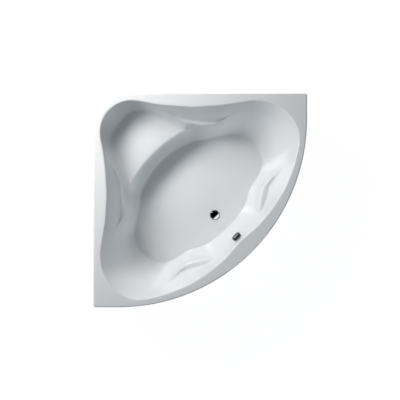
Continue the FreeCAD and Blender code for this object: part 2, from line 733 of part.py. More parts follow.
RAILS = {
    "rear_rail": (place(0, REAR_RAIL_ALONG * PLAN, RAIL_Z), ACROSS, REAR_RAIL_LENGTH,
                  LONG_RAIL_SCREW_COUNT),
    "middle_rail": (place(0, MIDDLE_RAIL_ALONG * PLAN, RAIL_Z), ACROSS, MIDDLE_RAIL_LENGTH,
                    LONG_RAIL_SCREW_COUNT),
    "front_rail": (place(FRONT_RAIL_ACROSS, FRONT_RAIL_START * PLAN + FRONT_RAIL_LENGTH / 2, RAIL_Z),
                   AHEAD, FRONT_RAIL_LENGTH, FRONT_RAIL_SCREW_COUNT),
}
FEET = rail_spots("rear_rail", FOOT_INSET) + rail_spots("middle_rail", FOOT_INSET)
FEET.append(RAILS["front_rail"][0] + AHEAD * (FRONT_RAIL_LENGTH / 2 - FOOT_INSET))
board = base_board()
rail_screws = []
for name, (middle, direction, length, screw_count) in RAILS.items():
    shape = rail(middle, direction, length)
    spots = rail_spots(name, SCREW_FROM_END, screw_count)
    for spot in spots:
        shape = shape.cut(rod(SCREW_R + SCREW_PLAY, spot, spot + UP * RAIL_W))
        rail_screws.append(wood_screw(spot + UP * RAIL_W, UP, RAIL_W))
    board = bitten(board, [spot + UP * RAIL_W for spot in spots], UP)
    for foot in FEET:
        shape = shape.cut(rod(STEM_HOLE_R, foot, foot + UP * RAIL_W))
    save(name, shape)
save("base_board", board)
save("rail_screws", group(rail_screws))

nuts = []
for k, foot in enumerate(FEET):
    nut = prism(6, NUT_ACROSS / 2, foot - UP * NUT_H, foot)
    nuts.append(nut.cut(rod(STEM_R + STEM_PLAY, foot - UP * NUT_H, foot)))
    ground = Vector(foot.x, foot.y, 0)
    save("foot_stem_%d" % (k + 1), rod(STEM_R, ground + UP * STEM_SEAT,
                                       ground + UP * (BOARD_Z - STEM_TOP_GAP)))
    profile = [(0, 0), (PAD_R, 0), (PAD_R, PAD_RIM_H), (PAD_TOP_R, PAD_H), (0, PAD_H)]
    wire = Part.makePolygon([ground + Vector(x, 0, z) for x, z in profile + profile[:1]])
    pad = Part.Face(wire).revolve(ground, UP, 360)
    save("foot_pad_%d" % (k + 1), pad.cut(rod(STEM_R, ground + UP * STEM_SEAT, ground + UP * PAD_H)))
save("foot_nuts", group(nuts))


# ---------------------------------------------------------------- front panel

def panel_face(z):
    """Plan of the panel: a straight end, the front arc and the other straight end."""
    end = HALF - CORNER_R - PANEL_END_GAP
    edges = []
    corners = []
    for inset in (BEHIND_LIP, PANEL_INSET):
        edge, arc_r = HALF - inset, FRONT_R - inset
        mid = arc_r * math.sqrt(0.5)
        points = [Vector(edge, end, z), Vector(edge, ARC_Y, z),
                  Vector(ARC_X + mid, ARC_Y - mid, z), Vector(ARC_X, -edge, z), Vector(-end, -edge, z)]
        edges += [Part.makeLine(points[0], points[1]), Part.Arc(*points[1:4]).toShape(),
                  Part.makeLine(points[3], points[4])]
        corners.append((points[0], points[4]))
    (a, b), (c, d) = corners
    edges += [Part.makeLine(a, c), Part.makeLine(b, d)]
    return Part.Face(Part.Wire(Part.__sortEdges__(edges)))


def from_arc(angle, radius, z):
    turn = math.radians(angle)
    return Vector(ARC_X + radius * math.cos(turn), ARC_Y + radius * math.sin(turn), z)


PANEL_TOP = DECK_UNDER - PANEL_TOP_GAP
panel = panel_face(PANEL_GAP).extrude(UP * (PANEL_TOP - PANEL_GAP))
blocks, panel_screws, caps = [], [], []
for angle in BLOCK_ANGLES:
    long, deep, high = BLOCK_SIZE
    outward = (from_arc(angle, 1, 0) - from_arc(angle, 0, 0)).normalize()
    sideways = UP.cross(outward)
    chord = math.sqrt((FRONT_R - PANEL_INSET) ** 2 - (long / 2) ** 2)
    face_at = from_arc(angle, chord, 0)
    corners = [face_at + sideways * (sx * long / 2) - outward * (sy * deep)
               for sx, sy in ((-1, 0), (1, 0), (1, 1), (-1, 1))]
    wood = Part.Face(Part.makePolygon(corners + corners[:1])).extrude(UP * high)
    entry = from_arc(angle, chord, PANEL_SCREW_Z)
    outside = from_arc(angle, FRONT_R - BEHIND_LIP, PANEL_SCREW_Z)
    blocks.append(bitten(wood, [entry], -outward))
    panel_screws.append(wood_screw(entry, -outward, (outside - entry).Length))
    panel = panel.cut(rod(SCREW_R + SCREW_PLAY, outside - outward * 2 * PANEL_T, outside + outward))
    cap = rod(CAP_R, outside, outside + outward * CAP_H)
    cap = cap.makeFillet(CAP_EDGE_R, [edge for edge in cap.Edges if edge.Closed
                                      and (edge.CenterOfMass - outside).dot(outward) > CAP_H / 2])
    caps.append(cap.cut(rod(SCREW_HEAD_R, outside - outward, outside + outward * SCREW_HEAD_H))
                .cut(panel))
save("front_panel", panel)
save("panel_blocks", group(blocks))
save("panel_screws", group(panel_screws))
save("screw_caps", group(caps))


# ---------------------------------------------------------------- waste and plug

def ring(outer_r, inner_r, start, end):
    return rod(outer_r, start, end).cut(rod(inner_r, start, end))


def turned(profile, foot):
    """Solid of revolution about the vertical through foot, from points (radius, height)."""
    wire = Part.makePolygon([foot + Vector(x, 0, z) for x, z in profile + profile[:1]])
    return Part.Face(wire).revolve(foot, UP, 360)


def waste_flange():
    top, end = waste_at(FLANGE_Z + FLANGE_T), waste_at(FLANGE_Z + FLANGE_T - SPIGOT_LENGTH)
    bore = SPIGOT_R - SPIGOT_T
    shape = rod(FLANGE_R, waste_at(FLANGE_Z), top)
    shape = shape.makeChamfer(FLANGE_EDGE, [edge for edge in shape.Edges if edge.Closed
                                            and edge.CenterOfMass.z > FLANGE_Z + FLANGE_T / 2])
    shape = shape.fuse(rod(SPIGOT_R, end, top)).cut(rod(bore, end, top))
    hub = rod(HUB_R, end, end + UP * HUB_H)
    for k in range(HUB_ARMS):
        turn = 360.0 * k / HUB_ARMS
        arm = Part.makeBox(bore + SPIGOT_T / 2, HUB_ARM_W, HUB_H, end - Vector(0, HUB_ARM_W / 2, 0))
        arm.rotate(end, UP, turn)
        hub = hub.fuse(arm)
    hub = hub.cut(rod(PLUG_ROD_R + ROD_PLAY, end, end + UP * HUB_H))
    return shape.fuse(hub)


def waste_body():
    top, floor = waste_at(WASTE_BODY_TOP), waste_at(WASTE_BODY_Z)
    spigot_end = FLANGE_Z + FLANGE_T - SPIGOT_LENGTH
    shape = rod(WASTE_BODY_R, floor, top)
    shape = shape.fuse(rod(WASTE_FLANGE_R, top - UP * WASTE_FLANGE_T, top))
    shape = shape.fuse(rod(OUTLET_R, floor - UP * OUTLET_LENGTH, floor))
    turn = math.radians(BRANCH_ANGLE)
    aim = ACROSS * math.sin(turn) + AHEAD * math.cos(turn)
    start = waste_at(BRANCH_Z)
    shape = shape.fuse(rod(BRANCH_R, start, start + aim * BRANCH_END))
    shape = shape.fuse(rod(GLAND_R, CABLE_LOW, CABLE_LOW + ACROSS * (WASTE_BODY_R + GLAND_LENGTH)))
    shape = shape.cut(rod(SPIGOT_R, waste_at(spigot_end), top))
    shape = shape.cut(rod(WASTE_BODY_R - WASTE_WALL, waste_at(WASTE_BODY_Z + WASTE_WALL),
                          waste_at(spigot_end)))
    shape = shape.cut(rod(OUTLET_R - OUTLET_WALL, floor - UP * OUTLET_LENGTH, waste_at(BRANCH_Z)))
    shape = shape.cut(rod(BRANCH_R - BRANCH_WALL, start, start + aim * BRANCH_END))
    shape = shape.cut(rod(CABLE_R, CABLE_LOW, CABLE_LOW + ACROSS * (WASTE_BODY_R + GLAND_LENGTH)))
    return shape.cut(lever_pin()), start + aim * BRANCH_END, aim


LEVER_PIN = place(LEVER_ARM, WASTE_ALONG, ROD_END_Z - LEVER_GAP - LEVER_T / 2)
CABLE_LOW = waste_at(LEVER_PIN.z - LEVER_TAIL)


def lever_pin():
    """Pin across the waste body, its two ends in the body's wall."""
    inside = WASTE_BODY_R - WASTE_WALL
    reach = math.sqrt(inside ** 2 - LEVER_ARM ** 2) + WASTE_WALL / 2
    return rod(LEVER_PIN_R, LEVER_PIN - AHEAD * reach, LEVER_PIN + AHEAD * reach)


def lift_lever():
    reach = LEVER_ARM + LEVER_TIP
    arm = block(LEVER_ARM - reach / 2, WASTE_ALONG, LEVER_PIN.z - LEVER_T / 2,
                (reach, LEVER_W, LEVER_T))
    tail = block(LEVER_ARM, WASTE_ALONG, LEVER_PIN.z - LEVER_TAIL - LEVER_T / 2,
                 (LEVER_T, LEVER_W, LEVER_TAIL))
    half = AHEAD * (LEVER_W / 2)
    hub = rod(LEVER_HUB_R, LEVER_PIN - half, LEVER_PIN + half)
    bore = rod(LEVER_PIN_R + LEVER_PIN_PLAY, LEVER_PIN - half, LEVER_PIN + half)
    return arm.fuse([tail, hub]).cut(bore)


def plug_cap():
    """Disc with bevelled edges under a shallow dome."""
    flat_r = PLUG_R - PLUG_EDGE
    disc = turned([(0, 0), (flat_r, 0), (PLUG_R, PLUG_EDGE), (PLUG_R, PLUG_T - PLUG_EDGE),
                   (flat_r, PLUG_T), (0, PLUG_T)], waste_at(PLUG_Z))
    ball_r = (flat_r ** 2 + PLUG_CROWN ** 2) / (2 * PLUG_CROWN)
    top = PLUG_Z + PLUG_T
    ball = Part.makeSphere(ball_r, waste_at(top + PLUG_CROWN - ball_r))
    return disc.fuse(rod(flat_r, waste_at(top), waste_at(top + PLUG_CROWN)).common(ball))


def plug_rod():
    tip = waste_at(ROD_END_Z + PLUG_ROD_R)
    return rod(PLUG_ROD_R, tip, waste_at(PLUG_Z)).fuse(Part.makeSphere(PLUG_ROD_R, tip))


body, BRANCH_TIP, BRANCH_AIM = waste_body()
save("waste_flange", waste_flange())
save("waste_seal_top", ring(FLANGE_R - SEAL_INSET, WASTE_HOLE_R, waste_at(WASTE_Z), waste_at(FLANGE_Z)))
save("waste_seal_bottom", ring(WASTE_FLANGE_R, WASTE_HOLE_R, waste_at(WASTE_BODY_TOP),
                               waste_at(BACKING_Z)))
save("waste_body", body)
save("lever_pin", lever_pin())
save("lift_lever", lift_lever())
save("plug_cap", plug_cap())
save("plug_seal", ring(SPIGOT_R - SPIGOT_T - PLUG_SEAL_PLAY, PLUG_ROD_R,
                       waste_at(PLUG_Z - PLUG_SEAL_T), waste_at(PLUG_Z)))
save("plug_rod", plug_rod())


# ---------------------------------------------------------------- trap

def trap():
    """Shallow bottle trap; its outlet runs towards the corner of the room."""
    spout = WASTE_BODY_Z - OUTLET_LENGTH
    bore = OUTLET_R - OUTLET_WALL
    pipe_z = TRAP_TOP - TRAP_WALL - OUTLET_R
    floor, lid = waste_at(TRAP_BOTTOM), waste_at(TRAP_TOP)
    out = waste_at(pipe_z) - AHEAD * (TRAP_R - TRAP_WALL)
    inner_r = TRAP_R - TRAP_WALL
    shape = rod(TRAP_R, floor, lid)
    shape = shape.fuse(rod(OUTLET_R + TRAP_SOCKET_T, out,
                           out - AHEAD * (TRAP_SOCKET_LENGTH + TRAP_WALL)))
    shape = shape.cut(rod(inner_r, floor + UP * TRAP_WALL, lid - UP * TRAP_WALL))
    dip = rod(OUTLET_R, waste_at(TRAP_BOTTOM + TRAP_DIP), lid + UP * TRAP_NECK)
    shape = shape.fuse(dip)
    shape = shape.cut(rod(bore, waste_at(TRAP_BOTTOM + TRAP_DIP), lid + UP * TRAP_NECK))
    socket = out - AHEAD * TRAP_WALL
    shape = shape.cut(rod(PIPE_END_R, socket, socket - AHEAD * TRAP_SOCKET_LENGTH))
    shape = shape.cut(rod(bore, waste_at(pipe_z) - AHEAD * ((OUTLET_R + inner_r) / 2), socket))
    nut_foot = waste_at(spout - TRAP_NUT_H / 2)
    nut = prism(TRAP_NUT_SIDES, TRAP_NUT_R, nut_foot, nut_foot + UP * TRAP_NUT_H)
    nut = nut.cut(rod(OUTLET_R, nut_foot, nut_foot + UP * TRAP_NUT_H))
    grip = socket - AHEAD * (TRAP_SOCKET_LENGTH - TRAP_NUT_H / 2)
    far = grip - AHEAD * TRAP_NUT_H
    second = prism(TRAP_NUT_SIDES, TRAP_NUT_R, grip, far)
    second = second.cut(rod(OUTLET_R + TRAP_SOCKET_T, grip, grip - AHEAD * (TRAP_NUT_H / 2)))
    second = second.cut(rod(PIPE_END_R, grip, far))
    mouth = socket - AHEAD * OUTLET_PIPE_LENGTH
    tube = rod(PIPE_END_R, socket, mouth).fuse(rod(OUTLET_R, far - AHEAD * PIPE_SHOULDER, mouth))
    tube = tube.cut(rod(bore, socket, mouth))
    seal = ring(OUTLET_R, bore, waste_at(spout - SEAL_T), waste_at(spout))
    return shape, tube, nut, second, seal


trap_body, outlet_pipe, inlet_nut, outlet_nut, trap_seal = trap()
save("trap_body", trap_body)
save("trap_inlet_nut", inlet_nut)
save("trap_outlet_nut", outlet_nut)
save("trap_seal", trap_seal)
save("outlet_pipe", outlet_pipe)


# ---------------------------------------------------------------- overflow

def rosette():
    back, front = OVERFLOW_SEAL_T, OVERFLOW_SEAL_T + ROSETTE_T
    shape = rod(ROSETTE_R, on_wall(back), on_wall(front))
    tube_end = back - ROSETTE_TUBE_LENGTH
    shape = shape.fuse(pipe(ROSETTE_TUBE_R, ROSETTE_TUBE_T, on_wall(tube_end), on_wall(back)))
    shape = shape.fuse(rod(ROSETTE_HUB_R, on_wall(front - ROSETTE_HUB_LENGTH), on_wall(front)))
    shape = shape.cut(rod(SPINDLE_R + SPINDLE_PLAY, on_wall(tube_end), on_wall(front)))
    up = ACROSS.cross(WALL_OUT)
    for k in range(ROSETTE_PORTS):
        turn = 2 * math.pi * k / ROSETTE_PORTS
        off = (ACROSS * math.cos(turn) + up * math.sin(turn)) * PORT_CIRCLE_R
        shape = shape.cut(rod(PORT_R, on_wall(back - 1) + off, on_wall(front + 1) + off))
    return shape


KNOB_BACK = OVERFLOW_SEAL_T + ROSETTE_T + KNOB_GAP
KNOB_FRONT = KNOB_BACK + KNOB_LENGTH
SPOOL_FRONT = OVERFLOW_SEAL_T + ROSETTE_T - ROSETTE_HUB_LENGTH - SPOOL_GAP


def overflow_knob():
    shape = rod(KNOB_R, on_wall(KNOB_BACK), on_wall(KNOB_FRONT))
    front = [edge for edge in shape.Edges
             if edge.Closed and (edge.CenterOfMass - on_wall(KNOB_FRONT)).Length < 1]
    shape = shape.makeFillet(KNOB_EDGE_R, front)
    hollow = KNOB_FRONT - KNOB_WALL
    shape = shape.cut(rod(KNOB_R - KNOB_WALL, on_wall(KNOB_BACK), on_wall(hollow)))
    return shape.cut(rod(SPINDLE_R, on_wall(hollow - 1), on_wall(hollow + KNOB_WALL / 2)))


def cable_spool():
    shape = rod(SPOOL_R, on_wall(SPOOL_FRONT - SPOOL_T), on_wall(SPOOL_FRONT))
    return shape.cut(rod(SPINDLE_R, on_wall(SPOOL_FRONT - SPOOL_T), on_wall(SPOOL_FRONT)))


ELBOW_FACE = -SKIN_T - OVERFLOW_SEAL_T
ELBOW_BORE_END = OVERFLOW_SEAL_T - ROSETTE_TUBE_LENGTH
ELBOW_BACK = ELBOW_BORE_END - ELBOW_CHAMBER
OUTLET_DEPTH = ELBOW_BORE_END - ELBOW_CHAMBER / 2
ELBOW_OUT = on_wall(OUTLET_DEPTH) - UP * ELBOW_DROP
CABLE_HIGH = on_wall(OUTLET_DEPTH)


def overflow_elbow():
    shape = rod(ELBOW_R, on_wall(ELBOW_BACK - ELBOW_WALL), on_wall(ELBOW_FACE))
    shape = shape.fuse(rod(ELBOW_FLANGE_R, on_wall(ELBOW_FACE - ELBOW_FLANGE_T),
                           on_wall(ELBOW_FACE)))
    shape = shape.fuse(rod(BRANCH_R, ELBOW_OUT, CABLE_HIGH))
    gland = CABLE_HIGH + ACROSS * (ELBOW_R + GLAND_LENGTH)
    shape = shape.fuse(rod(GLAND_R, CABLE_HIGH, gland))
    shape = shape.cut(rod(ROSETTE_TUBE_R, on_wall(ELBOW_BORE_END), on_wall(ELBOW_FACE)))
    shape = shape.cut(rod(ELBOW_R - ELBOW_WALL, on_wall(ELBOW_BACK), on_wall(ELBOW_BORE_END)))
    shape = shape.cut(rod(BRANCH_R - BRANCH_WALL, ELBOW_OUT, CABLE_HIGH))
    return shape.cut(rod(CABLE_R, CABLE_HIGH, gland))


save("overflow_rosette", rosette())
save("overflow_seal_front", ring(ROSETTE_R - SEAL_INSET, OVERFLOW_HOLE_R, on_wall(-SEAL_REACH),
                                 on_wall(OVERFLOW_SEAL_T)).cut(shell))
save("overflow_seal_back", ring(ELBOW_FLANGE_R, OVERFLOW_HOLE_R, on_wall(ELBOW_FACE),
                                on_wall(SEAL_REACH - SKIN_T)).cut(skin))
save("overflow_elbow", overflow_elbow())
save("overflow_knob", overflow_knob())
save("knob_spindle", rod(SPINDLE_R, on_wall(SPOOL_FRONT - SPOOL_T),
                         on_wall(KNOB_FRONT - KNOB_WALL / 2)))
save("cable_spool", cable_spool())


# ---------------------------------------------------------------- hose and cable

def tube_path(name, points):
    """Straight runs joined by tangent arcs, each as large as its two runs allow."""
    edges, radii = [], []
    last = points[0]
    for before, here, after in zip(points, points[1:], points[2:]):
        a, b = (before - here), (after - here)
        reach = REACH_SHARE * min(a.Length, b.Length)
        a.normalize()
        b.normalize()
        half = (math.pi - a.getAngle(b)) / 2
        radius = reach / math.tan(half)
        radii.append(radius)
        start, end = here + a * reach, here + b * reach
        middle_line = (a + b).normalize()
        middle = here + middle_line * (radius / math.cos(half) - radius)
        edges += [Part.makeLine(last, start), Part.Arc(start, middle, end).toShape()]
        last = end
    edges.append(Part.makeLine(last, points[-1]))
    path = Part.Wire(edges)
    print("%-10s length %.0f mm, bend radii %s" % (
        name, path.Length, " ".join("%.0f" % radius for radius in radii)))
    return path


def swept(path, radius):
    start = path.Edges[0].firstVertex().Point
    aim = path.Edges[0].tangentAt(path.Edges[0].FirstParameter)
    profile = Part.Wire(Part.Circle(start, aim, radius).toShape())
    return path.makePipeShell([profile], True, False)


def hand_points(route):
    return [place(across * PLAN, ahead * PLAN, WASTE_Z + rise) for across, ahead, rise in route]


hose_path = tube_path("hose", [ELBOW_OUT, ELBOW_OUT - UP * HOSE_FIRST] + hand_points(HOSE_ROUTE)
                      + [BRANCH_TIP + BRANCH_AIM * HOSE_LAST, BRANCH_TIP])
hose = swept(hose_path, HOSE_R).cut(swept(hose_path, HOSE_BORE_R))
print("hose volume / (section x length) = %.4f" % (
    hose.Volume / (math.pi * (HOSE_R ** 2 - HOSE_BORE_R ** 2) * hose_path.Length)))
save("overflow_hose", hose)
high = CABLE_HIGH + ACROSS * (ELBOW_R + GLAND_LENGTH)
low = CABLE_LOW + ACROSS * (WASTE_BODY_R + GLAND_LENGTH)
cable_path = tube_path("cable", [CABLE_HIGH + ACROSS * ELBOW_R, high + ACROSS * CABLE_STRAIGHT]
                       + hand_points(CABLE_ROUTE)
                       + [low + ACROSS * CABLE_STRAIGHT, CABLE_LOW + ACROSS * WASTE_BODY_R])
cable = swept(cable_path, CABLE_R)
print("cable volume / (section x length) = %.4f" % (
    cable.Volume / (math.pi * CABLE_R ** 2 * cable_path.Length)))
save("bowden_cable", cable)
for name, end, aim in (("hose_nut_top", ELBOW_OUT, UP), ("hose_nut_bottom", BRANCH_TIP, BRANCH_AIM)):
    start = end - aim * (HOSE_NUT_H / 2)
    nut = prism(HOSE_NUT_SIDES, HOSE_NUT_R, start, start + aim * HOSE_NUT_H)
    save(name, nut.cut(rod(HOSE_R, start, start + aim * HOSE_NUT_H)))
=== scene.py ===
# %% [markdown]
# # Dressing a corner bath
# A corner bath is one sheet of white acrylic, sucked hot into a mould, with everything that carries
# and drains it hidden underneath. Its construction arrives as a fixed frame. This notebook gives every
# piece its finish, and builds anew the pieces whose surface tells most: the moulded shell, the chrome
# plug, the knob, the threaded feet, the screws, the hose and the cable.

# %% Load the frame
import json
import math

import bmesh
import bpy
from mathutils import Matrix, Vector


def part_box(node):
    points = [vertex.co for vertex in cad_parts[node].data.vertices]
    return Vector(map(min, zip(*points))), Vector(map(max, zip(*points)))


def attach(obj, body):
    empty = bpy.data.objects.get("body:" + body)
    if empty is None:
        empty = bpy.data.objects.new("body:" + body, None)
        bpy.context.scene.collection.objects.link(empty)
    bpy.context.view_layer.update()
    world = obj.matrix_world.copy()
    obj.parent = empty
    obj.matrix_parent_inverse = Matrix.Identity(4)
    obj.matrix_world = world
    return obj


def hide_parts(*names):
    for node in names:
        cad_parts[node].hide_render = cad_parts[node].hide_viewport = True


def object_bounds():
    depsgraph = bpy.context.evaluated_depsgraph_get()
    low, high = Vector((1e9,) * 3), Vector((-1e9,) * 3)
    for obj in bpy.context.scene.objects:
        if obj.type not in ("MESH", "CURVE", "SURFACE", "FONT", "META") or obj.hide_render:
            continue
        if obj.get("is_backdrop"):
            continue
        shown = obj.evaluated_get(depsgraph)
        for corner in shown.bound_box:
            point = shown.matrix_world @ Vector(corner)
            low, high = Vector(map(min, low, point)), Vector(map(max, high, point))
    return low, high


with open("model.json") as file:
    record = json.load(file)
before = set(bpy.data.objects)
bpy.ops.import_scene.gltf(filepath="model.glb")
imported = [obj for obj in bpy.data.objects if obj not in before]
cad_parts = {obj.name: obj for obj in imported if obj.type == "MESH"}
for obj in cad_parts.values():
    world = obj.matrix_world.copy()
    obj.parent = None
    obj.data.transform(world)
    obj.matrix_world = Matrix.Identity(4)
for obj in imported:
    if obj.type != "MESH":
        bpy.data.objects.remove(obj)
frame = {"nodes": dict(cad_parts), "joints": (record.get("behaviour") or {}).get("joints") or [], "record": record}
CAD_LOW, CAD_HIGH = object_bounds()
HALF = CAD_HIGH.x
RIM = CAD_HIGH.z
MM = 0.001
print("nodes:", len(frame["nodes"]), " side:", round(2 * HALF, 3), " rim:", round(RIM, 3))

# %% [markdown]
# ## The view
# The picture was taken from straight above, from far enough away that the walls of the basin show
# only as narrow bands. A camera 4.5 m above the rim gives those bands their widths. It looks down
# unturned, so the corner of the room lies at the upper left.

# %% The camera
CAMERA_ABOVE_RIM = 4.5
PICTURE_WIDTH = 2.614    # metres across the whole picture, at the height of the rim
PICTURE_CENTRE = (-0.002, 0.003)

camera_data = bpy.data.cameras.new("photo_camera")
camera_data.lens = camera_data.sensor_width * CAMERA_ABOVE_RIM / PICTURE_WIDTH
camera = bpy.data.objects.new("photo_camera", camera_data)
camera.location = (*PICTURE_CENTRE, RIM + CAMERA_ABOVE_RIM)
bpy.context.scene.collection.objects.link(camera)
bpy.context.scene.camera = camera
bpy.context.scene.view_settings.view_transform = "Standard"
print("lens:", round(camera_data.lens, 1), "mm")

# %% [markdown]
# ## Small helpers
# Every material here starts from one Principled shader and adds a few texture nodes. The helpers keep
# that short: one makes the shader, and one adds a node and wires its inputs. The others turn drawn
# points into a mesh, link a piece to the scene, and turn a piece's modifiers into plain mesh.

# %% Helpers for materials and objects
def shader(name, **values):
    """A material with a Principled shader; returns it with its node tree and that shader."""
    material = bpy.data.materials.new(name)
    material.use_nodes = True
    tree = material.node_tree
    principled = tree.nodes["Principled BSDF"]
    for socket, value in values.items():
        principled.inputs[socket.replace("_", " ")].default_value = value
    return material, tree, principled


def node(tree, kind, operation=None, **inputs):
    """Adds a node; an input may be a value or another node's output. Numbers name sockets as in0."""
    made = tree.nodes.new(kind)
    if operation:
        made.operation = operation
    for key, value in inputs.items():
        socket = int(key[2:]) if key.startswith("in") and key[2:].isdigit() else key.replace("_", " ")
        if isinstance(value, bpy.types.NodeSocket):
            tree.links.new(value, made.inputs[socket])
        else:
            made.inputs[socket].default_value = value
    return made


def mesh_of(made, name):
    """The mesh of a bmesh, which is freed."""
    mesh = bpy.data.meshes.new(name)
    made.to_mesh(mesh)
    made.free()
    return mesh


def link_object(name, mesh, material):
    """A new object in the scene, with this mesh and this material alone."""
    piece = bpy.data.objects.new(name, mesh)
    mesh.materials.clear()
    mesh.materials.append(material)
    bpy.context.scene.collection.objects.link(piece)
    return piece


def settled(piece, sharp=None):
    """The piece with its modifiers turned into plain mesh, shaded smooth but for sharp edges."""
    bpy.context.view_layer.update()
    graph = bpy.context.evaluated_depsgraph_get()
    mesh = bpy.data.meshes.new_from_object(piece.evaluated_get(graph))
    piece.modifiers.clear()
    piece.data = mesh
    mesh.name = piece.name
    mesh.shade_smooth()
    if sharp:
        mesh.set_sharp_from_angle(angle=math.radians(sharp))
    return piece


# %% [markdown]
# ## White acrylic
# Sanitary acrylic is dyed through and polished by the mould. It is a shade cooler than paper white,
# and almost mirror smooth. A clear coat gives the thin sharp highlight, over a rougher base whose own
# specular level is set low, or the two glosses would add up to a milky one. A slow drift of tint and
# fine wiping marks keep it from looking like paint.

# %% Acrylic
def acrylic():
    material, tree, principled = shader("white_acrylic", Roughness=0.32, IOR=1.49, Coat_Weight=1.0,
                                        Coat_Roughness=0.04, Specular_IOR_Level=0.12)
    spot = node(tree, "ShaderNodeTexCoord").outputs["Object"]
    cloud = node(tree, "ShaderNodeTexNoise", Vector=spot, Scale=3.0, Detail=3.0)
    tint = node(tree, "ShaderNodeValToRGB", Fac=cloud.outputs["Fac"])
    tint.color_ramp.elements[0].color = (0.80, 0.82, 0.84, 1)
    tint.color_ramp.elements[1].color = (0.84, 0.855, 0.87, 1)
    tree.links.new(tint.outputs["Color"], principled.inputs["Base Color"])
    wipes = node(tree, "ShaderNodeTexNoise", Vector=spot, Scale=140.0, Detail=5.0, Distortion=0.6)
    gloss = node(tree, "ShaderNodeMapRange", in0=wipes.outputs["Fac"], in3=0.27, in4=0.36)
    tree.links.new(gloss.outputs[0], principled.inputs["Roughness"])
    bump = node(tree, "ShaderNodeBump", Strength=0.03, Distance=0.0005, Height=wipes.outputs["Fac"])
    tree.links.new(bump.outputs["Normal"], principled.inputs["Normal"])
    return material


ACRYLIC = acrylic()
print("acrylic:", len(ACRYLIC.node_tree.nodes), "nodes")

# %% [markdown]
# ## The basin, drawn as contours
# A mould maker draws a basin as plan contours: the rim, the edges of the seat, of the armrests and
# dents, and the edge of the floor. Each is a closed curve about one point, the pole, so it can be
# given as a radius at a few angles. The basin mirrors about the diagonal from the corner of the
# room, so half a turn is enough. A monotone cubic runs through the given radii without overshoot.

# %% Contours of the basin, in millimetres
POLE = 930.0             # from the room corner, along the diagonal
WASTE = 1137.0           # likewise
RIM_EDGE = {0: 783, 9: 757, 15: 703, 21: 647, 30: 599, 45: 569, 60: 597, 70: 656, 80: 746,
            90: 801, 97: 812, 105: 793, 115: 711, 130: 604, 150: 502, 165: 455, 175: 434, 180: 431}
SEAT_BACK = {0: 717, 9: 705, 16: 640, 22: 566, 28: 513, 34: 472, 40: 445}
SEAT_NOSE = {0: 387, 15: 396, 30: 417, 40: 437}
ARM_FOOT = {20: 634, 27: 582, 32: 545, 40: 510, 50: 497, 60: 512, 72: 572}
ARM_CREST = {20: 628, 27: 573, 37: 493, 52: 472, 63: 498, 72: 566}
ARM_LEVEL = {20: 0.5, 28: 0.8, 37: 1.0, 55: 1.0, 72: 1.1}    # drop of the crest, in ARM_DROPs
DENT_FOOT = {118: 572, 121: 556, 135: 514, 151: 468, 155: 455}
DENT_LIP = {118: 566, 121: 538, 135: 457, 151: 447, 155: 447}
DENT_LEVEL = {118: 1.2, 135: 1.0, 155: 0.7}      # drop of the dent's lip, in DENT_DROPs
FLOOR_EDGE = {0: 345, 18: 352, 36: 375, 47: 393, 55: 402, 69: 454, 78: 516, 85: 547, 93: 560,
              103: 556, 112: 530, 123: 441, 131: 394, 142: 378, 153: 361, 166: 343, 180: 337}
BASIN_DEPTH, FLOOR_FALL, SEAT_DROP = 430.0, 9.0, 210.0
ARM_DROP, ARM_HOLLOW, ARM_BROW = 150.0, 15.0, 26.0
DENT_DROP, DENT_HOLLOW = 185.0, 13.0


def along(curve, x):
    """Smooth value of a curve given as {place: value}, level at both ends."""
    xs = sorted(curve)
    if x <= xs[0] or x >= xs[-1]:
        return float(curve[xs[0]] if x <= xs[0] else curve[xs[-1]])
    steps = [(curve[b] - curve[a]) / (b - a) for a, b in zip(xs, xs[1:])]
    slopes = [0.0]
    for left, right in zip(steps, steps[1:]):
        slopes.append(0.0 if left * right <= 0 else 2 * left * right / (left + right))
    slopes.append(0.0)
    i = max(k for k, start in enumerate(xs) if start <= x)
    h = xs[i + 1] - xs[i]
    t = (x - xs[i]) / h
    return ((2 * t**3 - 3 * t**2 + 1) * curve[xs[i]] + (t**3 - 2 * t**2 + t) * h * slopes[i]
            + (3 * t**2 - 2 * t**3) * curve[xs[i + 1]] + (t**3 - t**2) * h * slopes[i + 1])


def ease(x, start, end):
    """0 before start, 1 after end, smooth between."""
    t = min(1.0, max(0.0, (x - start) / (end - start)))
    return t * t * (3 - 2 * t)


print("rim to foot at the seat:", along(RIM_EDGE, 0), "to", along(FLOOR_EDGE, 0), "mm")

# %% [markdown]
# ## From contours to a net
# On the ray at each angle, a section runs from the rim down to the floor. Its corners lie on the
# contours: the hollow and crest of an armrest, the back and nose of the seat, the foot of the wall.
# Two control points beside a corner round it over, as two pegs do for a bent batten. The columns of
# points of all rays together make a net, and Subdivision Surface turns a regular net like this into
# the smooth skin that a spline surface over the same points would have.

# %% Sections of the basin
SEAT_OUT = (36, 46)      # angles over which the seat runs out into the side wall
ARM_IN, ARM_OUT = (18, 30), (62, 75)
DENT_IN, DENT_OUT = (116, 127), (144, 157)
PLAIN_BACK, PLAIN_NOSE = 0.5, 0.62       # where the wall is plain: shares of the way from rim to foot
PLAIN_HOLLOW, PLAIN_CREST = 0.45, 0.7    # and of the way from rim to back
BELOW_BACK, BELOW_NOSE = 0.3, 0.45       # under an armrest or dent: shares from crest to foot
RIM_ROLL = ((16, 0), (7, 0), (-1, 2.5), (-3.5, 11))      # (outwards, down) from the rim's edge
CORNER_REACH = (12, 8, 16, 12)           # rounding beside hollow, crest, back and nose
FOOT_REACH = {95: 26, 122: 11}           # and beside the foot, sharper along the front wall
REACH_SHARE = 0.45                       # most of a run that the rounding at one end takes
BETWEEN = ((), (0.5,), (0.25, 0.5, 0.75), (0.35, 0.65))      # further points on the runs between


